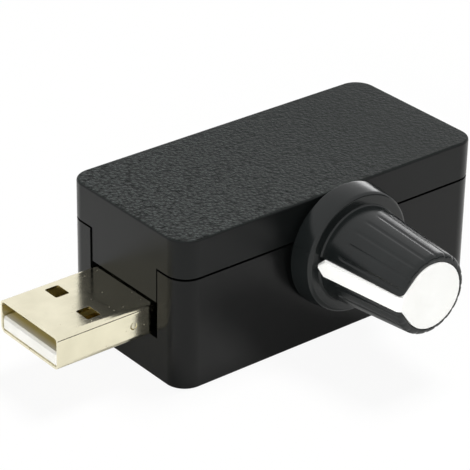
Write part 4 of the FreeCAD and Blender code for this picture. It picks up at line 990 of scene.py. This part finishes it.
def makeStudio():
    # a white room, a sheet of white paper, a black card and three lamps
    world = bpy.data.worlds.new("studio")
    bpy.context.scene.world = world
    world.use_nodes = True
    tree = world.node_tree
    tree.nodes.clear()
    strength = addNode(tree, "ShaderNodeMapRange", {
        "Value": seenBy(tree, 1.0, 1.0), "To Min": studio["ambient"], "To Max": 1.0})
    light = addNode(tree, "ShaderNodeBackground", {
        "Color": colour(studio["glow"]), "Strength": strength.outputs["Result"]})
    addNode(tree, "ShaderNodeOutputWorld", {"Surface": light.outputs["Background"]})

    bm = bmesh.new()
    bmesh.ops.create_grid(bm, x_segments=1, y_segments=1, size=studio["floor"])
    floor = toObject("floor", bm)
    floor.location.z = (caseLow.z - studio["floorDrop"]) * mm
    if floor.data.polygons[0].normal.z < 0:
        floor.data.flip_normals()
    whitePaper, tree = startMaterial("whitePaper")
    paper = addNode(tree, "ShaderNodeBsdfDiffuse", {"Color": colour(studio["paper"])})
    glow = addNode(tree, "ShaderNodeEmission", {"Color": colour(studio["glow"]), "Strength": 1.0})
    sheet = addNode(tree, "ShaderNodeMixShader", {
        0: seenBy(tree, studio["floorSeen"], studio["floorMirrored"]), 1: paper.outputs["BSDF"],
        2: glow.outputs["Emission"]})
    addNode(tree, "ShaderNodeOutputMaterial", {"Surface": sheet.outputs["Shader"]})
    floor.data.materials.append(whitePaper)

    # a black card beyond the front right corner draws the thin dark lines in the plug's rounded edges
    card = studio["card"]
    bm = bmesh.new()
    bmesh.ops.create_grid(bm, x_segments=1, y_segments=1, size=0.5)
    bmesh.ops.scale(bm, vec=(*card["size"], 1), verts=bm.verts)
    flag = toObject("blackCard", bm)
    flag.location = card["at"]
    flag.rotation_euler = (-Vector((*card["at"][:2], 0))).to_track_quat("Z", "Y").to_euler()
    flag.visible_camera = False
    flag.visible_diffuse = False
    flag.visible_shadow = False
    blackFelt, tree = startMaterial("blackFelt")
    felt = addNode(tree, "ShaderNodeBsdfDiffuse", {"Color": colour(card["felt"])})
    addNode(tree, "ShaderNodeOutputMaterial", {"Surface": felt.outputs["BSDF"]})
    flag.data.materials.append(blackFelt)

    for name in ("key", "fill", "edge"):
        lamp = bpy.data.lights.new(name, "AREA")
        lamp.shape = "SQUARE"
        lamp.size = studio[name]["size"]
        lamp.energy = studio[name]["power"]
        holder = bpy.data.objects.new(name, lamp)
        holder.location = studio[name]["at"]
        holder.rotation_euler = (-Vector(studio[name]["at"])).to_track_quat("-Z", "Y").to_euler()
        holder.visible_camera = False
        holder.visible_glossy = studio[name]["mirrored"]
        bpy.context.scene.collection.objects.link(holder)


makeStudio()

# the place is in metres and the angles are in degrees
cameraSizes = {
    "place": (-0.17507, -0.20589, 0.15486),
    "azimuth": 39.31,
    "drop": 28.34,
    "roll": 1.02,
    "lens": 183.6,
    "sensor": 36.0,
    "clip": (0.01, 10),
}


def makeCamera():
    # the photograph's own viewpoint: a long lens from the plug's end, on the knob's side, looking down
    size = cameraSizes
    turn, drop = math.radians(size["azimuth"]), math.radians(size["drop"])
    ahead = Vector((math.sin(turn) * math.cos(drop), math.cos(turn) * math.cos(drop), -math.sin(drop)))
    camera = bpy.data.cameras.new("camera")
    camera.lens = size["lens"]
    camera.sensor_width = size["sensor"]
    camera.clip_start, camera.clip_end = size["clip"]
    holder = bpy.data.objects.new("camera", camera)
    holder.location = size["place"]
    holder.rotation_mode = "QUATERNION"
    level = ahead.to_track_quat("-Z", "Y")
    holder.rotation_quaternion = level @ Quaternion((0, 0, 1), math.radians(size["roll"]))
    bpy.context.scene.collection.objects.link(holder)
    bpy.context.scene.camera = holder


makeCamera()
bpy.context.scene.view_settings.view_transform = "Standard"
print("stage, lamps and camera set")
